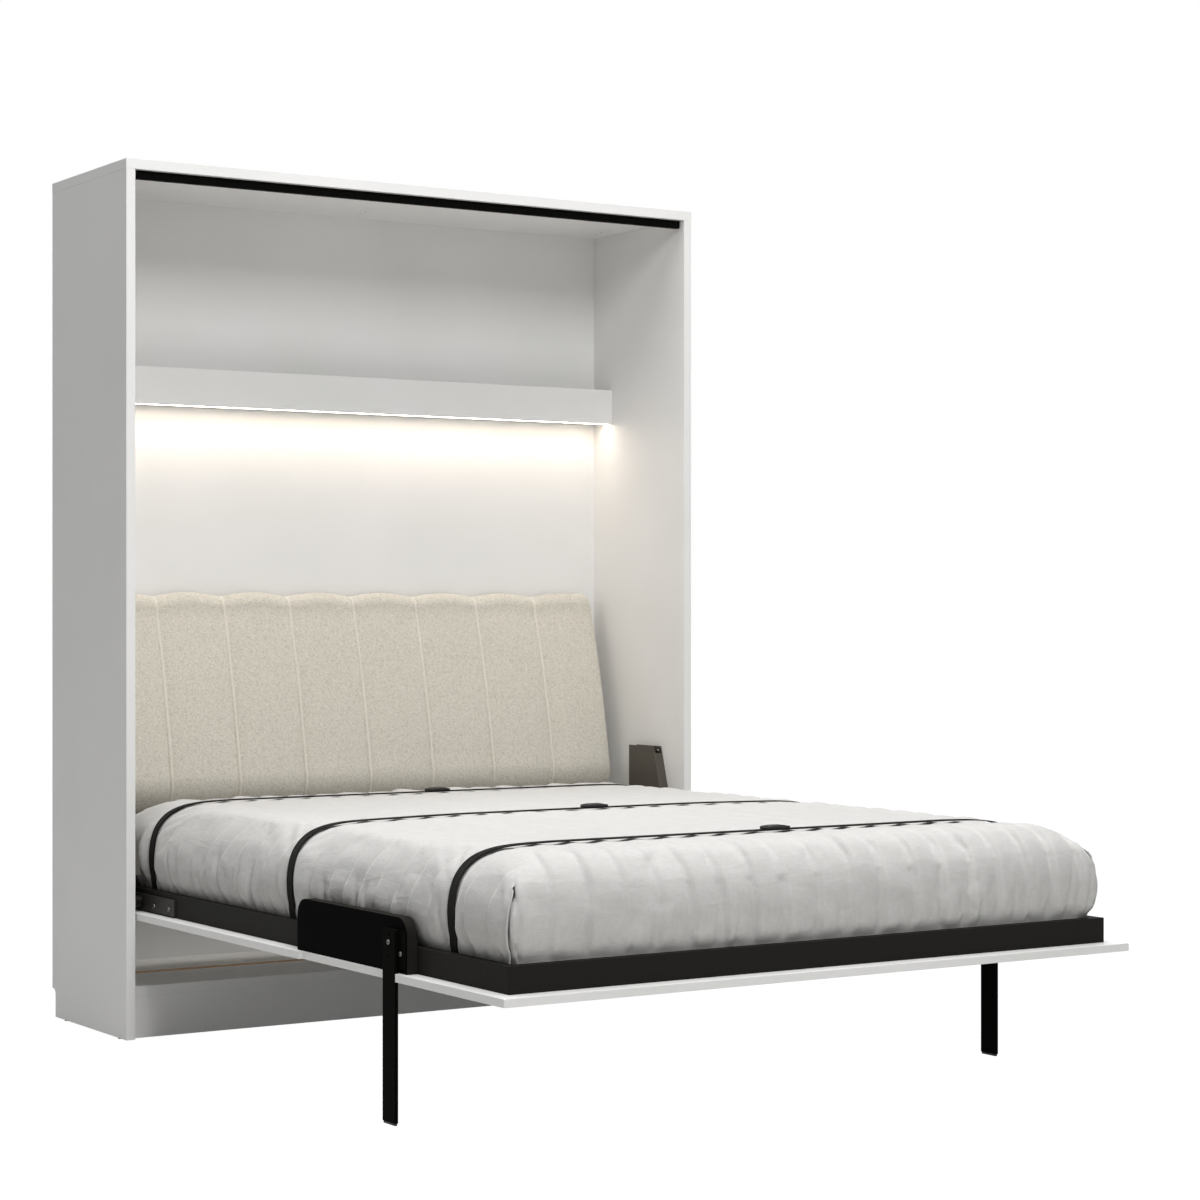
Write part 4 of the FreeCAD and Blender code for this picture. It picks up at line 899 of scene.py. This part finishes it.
crumpled = add_node(
    tree, "ShaderNodeBump", {"Strength": 1.0, "Distance": CRUMPLE_RISE},
    {"Height": crumple.outputs["Fac"], "Normal": raised.outputs["Normal"]},
)
tree.links.new(crumpled.outputs["Normal"], shader.inputs["Normal"])
shader.inputs["Sheen Weight"].default_value = 0.3
shader.inputs["Sheen Roughness"].default_value = 0.4
shader.inputs["Specular IOR Level"].default_value = 0.2
quilt = new_piece(
    "linen_quilt", quilt_points, quilt_faces, linen, "bed", "quilt_fabric", ("quilt",)
)


def from_edge(point):
    """Return how far a point lies inside the quilt's side lines and its end lines."""
    return QUILT_HALF - abs(point.x), QUILT_LONG - abs(point.y - QUILT_MIDDLE)


def blow_up(piece, pressure, frames, swell, hold, cap):
    """Inflate a cloth that is held in places, keep the result and drop the simulation."""
    held = piece.vertex_groups.new(name="held")
    start = [vertex.co.copy() for vertex in piece.data.vertices]
    for number, place in enumerate(start):
        share = hold(number, place)
        if share > 0:
            held.add([number], share, "REPLACE")
    cloth = piece.modifiers.new("cloth", "CLOTH")
    settings = cloth.settings
    settings.quality = 4
    settings.mass = 0.4
    settings.tension_stiffness = settings.compression_stiffness = 12
    settings.shear_stiffness = 8
    settings.bending_stiffness = 0.4
    settings.use_pressure = True
    settings.uniform_pressure_force = pressure
    settings.shrink_min = -swell
    settings.vertex_group_mass = "held"
    settings.effector_weights.gravity = 0
    cloth.point_cache.frame_start = 1
    cloth.point_cache.frame_end = frames
    for number in range(1, frames + 1):
        scene.frame_set(number)
    shaped = piece.evaluated_get(bpy.context.evaluated_depsgraph_get()).to_mesh()
    moves = [vertex.co - before for vertex, before in zip(shaped.vertices, start)]
    piece.modifiers.remove(cloth)
    for vertex, before, move in zip(piece.data.vertices, start, moves):
        length, limit = move.length, cap(before)
        vertex.co = before + (move * (min(length, limit) / length) if length else move)
    scene.frame_set(1)


def quilt_hold(number, place):
    """Return how firmly tuck, straps and lapped corners hold a point of the quilt."""
    strap = min(abs(place.y - strap_place) for strap_place in STRAP_PLACES)
    tuck = 1 - ease(place.z, QUILT_BOTTOM + 0.03, QUILT_BOTTOM + 0.06)
    return max(tuck, 1 - ease(strap, STRAP_HALF, 0.026), 1.0 if number in lap_corners else 0.0)


def quilt_cap(place):
    """Return how far the filling may push a point of the quilt."""
    to_side, to_end = from_edge(place)
    return BLOW_SIDE + (BLOW_TOP - BLOW_SIDE) * ease(min(to_side, to_end), 0.03, 0.16)


blow_up(quilt, BLOW_PRESSURE, BLOW_FRAMES, BLOW_SWELL, quilt_hold, quilt_cap)


def wander(*place):
    """Return smooth noise near -0.5 to 0.5 at a place."""
    return noise.noise(Vector(place))


def crease(place, up, pitch, seed, stray):
    """Return an uneven row of folds: each climbs fast to its crest, then rounds off."""
    phase = place / pitch + stray * wander(place * 1.9, up * 3.0, seed)
    phase += 0.3 * stray * wander(place * 7.0, up * 8.0, seed + 7.1)
    number = math.floor(phase)
    after = phase - number
    strength = max(0.85 + 0.9 * wander(number * 3.7, up * 3.2, seed + 3.3), 0.25)
    onward = max(0.85 + 0.9 * wander(number * 3.7 + 3.7, up * 3.2, seed + 3.3), 0.25)
    fall = strength * (0.52 - after ** 1.8)
    return fall + (onward * 0.52 - fall) * ease(after, 0.84, 1.0)


def gather(place, up, seed):
    """Return how deep the cloth is gathered into narrow grooves where it is tucked in."""
    phase = place / GATHER_PITCH + 0.8 * wander(place * 3.0, up * 5.0, seed)
    off = phase - math.floor(phase + 0.5)
    share = max(0.7 + 1.6 * wander(math.floor(phase + 0.5) * 2.9, 0.4, seed + 1.9), 0.0)
    reach = 0.045 + 0.09 * share
    groove = math.exp(-((off / 0.11) ** 2)) * share
    return groove * (1 - ease(up, QUILT_BOTTOM + 0.03, QUILT_BOTTOM + 0.03 + reach))


def above_tuck(height):
    """Return 0 for the part that is tucked into the frame and 1 for the part above."""
    return ease(height, QUILT_BOTTOM + 0.028, QUILT_BOTTOM + 0.06)


def squeeze(inset):
    """Return how far a strap draws the quilt in at an inset of its edge."""
    return STRAP_SQUEEZE * max(STRAP_REACH - inset, 0.0) ** 2


def quilt_lift(point):
    """Return how far folds, gathers and straps move a point of the blown-up quilt."""
    to_side, to_end = from_edge(point)
    inside = min(to_side, to_end)
    low_part = above_tuck(point.z)
    on_side = ease(to_end - to_side, -0.03, 0.03)
    seed = 1.7 if point.x < 0 else 5.2
    puckers = crease(-point.y - 0.3 * inside, point.z, PUCKER_PITCH, seed, 0.8)
    folds = crease(point.x, point.z + point.y, FOLD_PITCH, 9.4, 0.4)
    lift = PUCKER_RISE * puckers * on_side * (1 - ease(inside, 0.0, 0.22))
    lift += FOLD_RISE * folds * (1 - on_side) * (1 - ease(inside, 0.0, 0.2))
    on_top = ease(inside, 0.05, 0.2)
    slow = wander(point.x * 3.1, point.y * 2.2, 31.0)
    ribs = crease(point.x, point.y * 0.4, FOLD_PITCH, 9.4, 0.4)
    lift += on_top * RIB_RISE * (0.7 * ribs + 1.1 * slow - 0.5)
    tilt = wander(point.x * 8 + point.z * 12, point.y * 8 - point.z * 9, point.z * 8 + 51.0)
    lift = (lift + TILT_RISE * tilt * (1 - 0.7 * on_top)) * low_part
    if point.z < QUILT_BOTTOM + 0.2:
        depth = GATHER_DEPTH * (on_side + GATHER_END_SHARE * (1 - on_side))
        lift -= depth * gather(point.y * on_side + point.x * (1 - on_side), point.z, seed + 20.0)
    # At the ends the mattress lies close behind the cloth and stops the valleys.
    room = max(0.002 - to_end, 0.0) + 0.03 * on_side + 0.2 * max(to_end - 0.02, 0.0)
    lift = max(lift, -room)
    near = min(abs(point.y - place) for place in STRAP_PLACES)
    press = 1 - ease(near, STRAP_HALF + 0.001, STRAP_HALF + 0.03)
    scallop = math.cos(2 * math.pi * (point.x / FOLD_PITCH + 0.4 * slow))
    pressed = SCALLOP_RISE * scallop * on_top - STRAP_SINK - squeeze(inside)
    return lift * (1 - press) + press * low_part * pressed


def refine(piece):
    """Subdivide a piece's mesh once and keep its material."""
    finer = piece.modifiers.new("finer", "SUBSURF")
    finer.levels = finer.render_levels = 1
    shaped = piece.evaluated_get(bpy.context.evaluated_depsgraph_get())
    mesh = bpy.data.meshes.new_from_object(shaped)
    piece.modifiers.remove(finer)
    piece.data = mesh


refine(quilt)
lifts = [(vertex.normal.copy(), quilt_lift(vertex.co)) for vertex in quilt.data.vertices]
for vertex, (outward, lift) in zip(quilt.data.vertices, lifts):
    vertex.co += outward * lift
    # The head end stays clear of the cabinet's floor when the bed stands up.
    if vertex.co.y > FLAT_FROM:
        vertex.co.y = FLAT_FROM + FLAT_ROOM * math.tanh((vertex.co.y - FLAT_FROM) / FLAT_ROOM)
quilt.data.shade_smooth()

# Hems of the lapped corners: the cloth is turned over twice and stitched, which leaves
# a rolled edge down each foot corner.
HEM_RADIUS = 0.0026
HEM_SIDES = 8
hem_shapes = []
for side in (-1, 1):
    upward = sorted(lap_corners.items(), key=lambda item: item[1][2])
    line = [
        quilt.data.vertices[number].co.copy()
        for number, (owner, lap_side, up) in upward if owner == "side" and lap_side == side
    ]
    points = []
    for row, here in enumerate(line):
        along = (line[min(row + 1, len(line) - 1)] - line[max(row - 1, 0)]).normalized()
        first = Vector((side, -1.0, 0.0)).cross(along).normalized()
        second = along.cross(first)
        for step in range(HEM_SIDES):
            angle = 2 * math.pi * step / HEM_SIDES
            reach = first * math.cos(angle) + second * math.sin(angle)
            points.append(here + reach * HEM_RADIUS)
    hem_shapes.append((points, tube_faces(len(line), HEM_SIDES)))
hems = new_piece("quilt_hems", *join_shapes(hem_shapes), linen, "bed", "quilt_fabric")
smooth_piece(hems, 60)

# Straps: woven black webbing, 28 mm wide, that holds the bedding while the bed folds up.
# Each runs from rail to rail over the quilt and is drawn flat against it. Fine ribs run
# along it; a wave texture of scale 1 repeats every 0.31 m.
STRAP_THICK = 0.0022
STRAP_SWELL = 0.0003
STRAP_TURN = 0.0002
STRAP_GAP = 0.0003
STRAP_RISE = 0.0022
STRAP_TUCK = 0.01
STRAP_STEPS = 150
WEB_RIB = 0.0035
WEB_RISE = 0.0006
WAVE_REPEAT = 0.31
STRAP_NAMES = ("strap_head", "strap_middle", "strap_foot")
webbing, tree, shader, spot = start_finish("black_webbing", "#141311", 0.85)
shader.inputs["Specular IOR Level"].default_value = 0.03
ribs = add_node(
    tree, "ShaderNodeTexWave",
    {
        "wave_type": "BANDS", "bands_direction": "Y", "Scale": WAVE_REPEAT / WEB_RIB,
        "Distortion": 0.4,
    },
    {"Vector": spot},
)
two_tones(tree, shader, ribs.outputs["Fac"], "#0F0E0D", "#1D1B19", 0.2, 0.8)
raised = add_node(
    tree, "ShaderNodeBump", {"Strength": 0.8, "Distance": WEB_RISE}, {"Height": ribs.outputs["Fac"]}
)
tree.links.new(raised.outputs["Normal"], shader.inputs["Normal"])
shader.inputs["Sheen Weight"].default_value = 0.05


def strap_path(place):
    """Return points and outward directions over the quilt at one place along the bed."""
    cap = on_profile(run_at_inset(QUILT_LONG - abs(place - QUILT_MIDDLE)))[1]
    path = []
    total = run_at_inset(QUILT_HALF)
    for step in range(STRAP_STEPS + 1):
        run = STRAP_TUCK + (total - STRAP_TUCK) * step / STRAP_STEPS
        inset, up, corner = on_profile(run)
        path.append((-(QUILT_HALF - inset), QUILT_BOTTOM + min(up, cap)))
    whole = path + [(-x, z) for x, z in path[-2::-1]]
    turned = []
    for number, here in enumerate(whole):
        before, after = whole[max(number - 1, 0)], whole[min(number + 1, len(whole) - 1)]
        dx, dz = after[0] - before[0], after[1] - before[1]
        length = math.hypot(dx, dz)
        turned.append((-dz / length, dx / length))
    drawn = []
    for (x, z), (out_x, out_z) in zip(whole, turned):
        inward = above_tuck(z) * squeeze(QUILT_HALF - abs(x))
        drawn.append((x - out_x * inward, z - out_z * inward))
    return drawn, turned


half_section = (
    (STRAP_HALF, 0.0), (STRAP_HALF + STRAP_SWELL, STRAP_THICK / 2),
    (STRAP_HALF - STRAP_TURN, STRAP_THICK), (STRAP_HALF * 0.5, STRAP_THICK),
)
strap_section = [(-along, rise) for along, rise in half_section]
strap_section += [(0.0, STRAP_THICK), *half_section[::-1], (0.0, 0.0)]
for name, place in zip(STRAP_NAMES, STRAP_PLACES):
    path, turned = strap_path(place)
    points = []
    for (x, z), (nx, nz) in zip(path, turned):
        for along, rise in strap_section:
            lift = STRAP_GAP + rise + STRAP_RISE * max(nz, 0.0)
            points.append((x + nx * lift, place + along, z + nz * lift))
    faces = [face[::-1] for face in tube_faces(len(path), len(strap_section))]
    strap = new_piece(f"web_{name}", points, faces, webbing, "bed", "strap_web", (name,))
    smooth_piece(strap, 50)

# Buckles: moulded ladder locks, slightly bowed, with two slots and a bar between them
# that the webbing wraps. Each lies on its strap near the middle of the bed.
BUCKLE_LONG = 0.066
BUCKLE_WIDE = 0.034
BUCKLE_MIDDLE = 0.05
BUCKLE_CORE = 0.0018
BUCKLE_EDGE = 0.0008
BUCKLE_REST = 0.0027
BUCKLE_BOW = 0.0038
BUCKLE_SLOTS = ((-0.027, 0.0055), (-0.011, 0.0075), (0.013, 0.011))


def slot_outline(curve, x, half_x, half_y, corner):
    """Add a closed outline with rounded corners to a flat curve."""
    places = []
    for quarter, (sx, sy) in enumerate(((1, 1), (-1, 1), (-1, -1), (1, -1))):
        for step in range(6):
            angle = math.pi / 2 * (quarter + step / 5)
            places.append((
                x + sx * (half_x - corner) + corner * math.cos(angle),
                sy * (half_y - corner) + corner * math.sin(angle),
            ))
    spline = curve.splines.new("POLY")
    spline.points.add(len(places) - 1)
    for point, (px, py) in zip(spline.points, places):
        point.co = (px, py, 0.0, 1.0)
    spline.use_cyclic_u = True


buckle_curve = bpy.data.curves.new("buckle_outline", "CURVE")
buckle_curve.dimensions = "2D"
buckle_curve.fill_mode = "BOTH"
buckle_curve.extrude = BUCKLE_CORE
buckle_curve.bevel_depth = BUCKLE_EDGE
buckle_curve.bevel_resolution = 2
slot_outline(
    buckle_curve, 0.0, BUCKLE_LONG / 2 - BUCKLE_EDGE, BUCKLE_WIDE / 2 - BUCKLE_EDGE, 0.005
)
for middle, wide in BUCKLE_SLOTS:
    slot_outline(buckle_curve, middle, wide / 2, BUCKLE_WIDE / 2 - 0.0035, 0.0015)
buckle_form = bpy.data.objects.new("buckle_form", buckle_curve)
scene.collection.objects.link(buckle_form)
bpy.context.view_layer.update()
buckle_mesh = bpy.data.meshes.new_from_object(buckle_form)
bpy.data.objects.remove(buckle_form)
buckle_shapes = []
for place in STRAP_PLACES:
    near = QUILT_LONG - abs(place - QUILT_MIDDLE)
    rest = QUILT_BOTTOM + on_profile(run_at_inset(min(near, QUILT_HALF)))[1]
    rest += STRAP_GAP + STRAP_THICK + STRAP_RISE + BUCKLE_REST
    moved = []
    for vertex in buckle_mesh.vertices:
        x, y, z = vertex.co
        bow = BUCKLE_BOW * (1 - (x / (BUCKLE_LONG / 2)) ** 4)
        moved.append((BUCKLE_MIDDLE + x, place + y, rest + bow + z))
    buckle_shapes.append((moved, [tuple(face.vertices) for face in buckle_mesh.polygons]))
buckles = new_piece(
    "ladder_locks", *join_shapes(buckle_shapes), black_plastic, "bed", "black_plastic",
    ("strap_buckles",),
)
smooth_piece(buckles, 40)

# Legs: flat steel bars that swing out on a shouldered bolt, with a keyhole slot for the
# catch and a plastic foot. Two socket bolts hold each plate to its board. The steel's
# powder coat is satin black with a faint sandy skin.
satin_coat, tree, shader, spot = start_finish("satin_black_powder_coat", "#080807", 0.5)
shader.inputs["Specular IOR Level"].default_value = 0.005
skin = grain(tree, shader, spot, 0.002, 0.00008, 3.0)
two_tones(tree, shader, skin, "#0A0A09", "#0F0F0E")
for part in ("left_leg_plate", "right_leg_plate", "left_leg_bar", "right_leg_bar"):
    coat_node(part, satin_coat, 0.0006)
LEG_BOLTS = ((-0.68265, 0.390, 0.8445, 0.0032), (-0.72015, 0.3675, 0.8357, 0.0030))
bolt_group("leg_screws", "bed", "leg_bolts", 1, 0.02, LEG_BOLTS)
for part in ("left_leg_pad", "right_leg_pad"):
    coat_node(part, black_plastic, 0.0004)

# Studio: a plain pale floor that shows as white and keeps the shadow, soft light from
# above and in front, and an even pale surround. None of it is part of the bed.
FLOOR_REACH = 60.0
FLOOR_SHOWN = 0.9
SURROUND_LIGHT = 0.15
floor_mesh = bpy.data.meshes.new("floor")
floor_corners = [
    (x * FLOOR_REACH, y * FLOOR_REACH, 0) for x, y in ((-1, -1), (1, -1), (1, 1), (-1, 1))
]
floor_mesh.from_pydata(floor_corners, [], [(0, 1, 2, 3)])
floor = bpy.data.objects.new("floor", floor_mesh)
scene.collection.objects.link(floor)


def seen_ray(tree):
    """Return 1 where a ray shows what it meets, straight or in a reflection."""
    rays = add_node(tree, "ShaderNodeLightPath")
    shown = rays.outputs["Is Camera Ray"]
    for kind in ("Is Glossy Ray", "Is Transmission Ray"):
        shown = add_node(
            tree, "ShaderNodeMath", {"operation": "MAXIMUM"}, {0: shown, 1: rays.outputs[kind]}
        ).outputs[0]
    return shown


floor_paint, tree, shader, spot = start_finish("floor_paint", "#C8C8C6", 0.9)
share = add_node(
    tree, "ShaderNodeMath", {"operation": "MULTIPLY", 1: FLOOR_SHOWN}, {0: seen_ray(tree)}
)
white = add_node(
    tree, "ShaderNodeEmission", {"Color": (1, 1, 1, 1), "Strength": 1.0 / FLOOR_SHOWN}
)
mixed = add_node(
    tree, "ShaderNodeMixShader", {},
    {0: share.outputs[0], 1: shader.outputs[0], 2: white.outputs[0]},
)
tree.links.new(mixed.outputs[0], tree.nodes["Material Output"].inputs["Surface"])
floor_mesh.materials.append(floor_paint)

world = bpy.data.worlds.new("surround")
scene.world = world
world.use_nodes = True
tree = world.node_tree
surround = tree.nodes["Background"]
surround.inputs["Color"].default_value = (1, 1, 1, 1)
surround.inputs["Strength"].default_value = SURROUND_LIGHT
shown = add_node(tree, "ShaderNodeBackground", {"Color": (1, 1, 1, 1), "Strength": 1.0})
mixed = add_node(
    tree, "ShaderNodeMixShader", {},
    {0: seen_ray(tree), 1: surround.outputs[0], 2: shown.outputs[0]},
)
tree.links.new(mixed.outputs[0], tree.nodes["World Output"].inputs["Surface"])


def soft_light(name, place, target, width, height, power):
    """Hang a rectangular soft light that faces a target."""
    data = bpy.data.lights.new(name, "AREA")
    data.shape = "RECTANGLE"
    data.size, data.size_y = width, height
    data.energy = power
    made = bpy.data.objects.new(name, data)
    made.location = place
    made.rotation_euler = (Vector(target) - Vector(place)).to_track_quat("-Z", "Y").to_euler()
    scene.collection.objects.link(made)


soft_light("overhead", (0.1, 0.1, 6.2), (0.0, 0.1, 0.3), 4.8, 4.8, 440)
soft_light("key", (-1.1, -3.8, 4.3), (0.1, 0.3, 1.0), 1.8, 1.6, 108)
soft_light("front", (-0.2, -9.0, 1.8), (0.0, 0.3, 1.0), 2.4, 3.2, 34)

scene.view_settings.view_transform = "Standard"
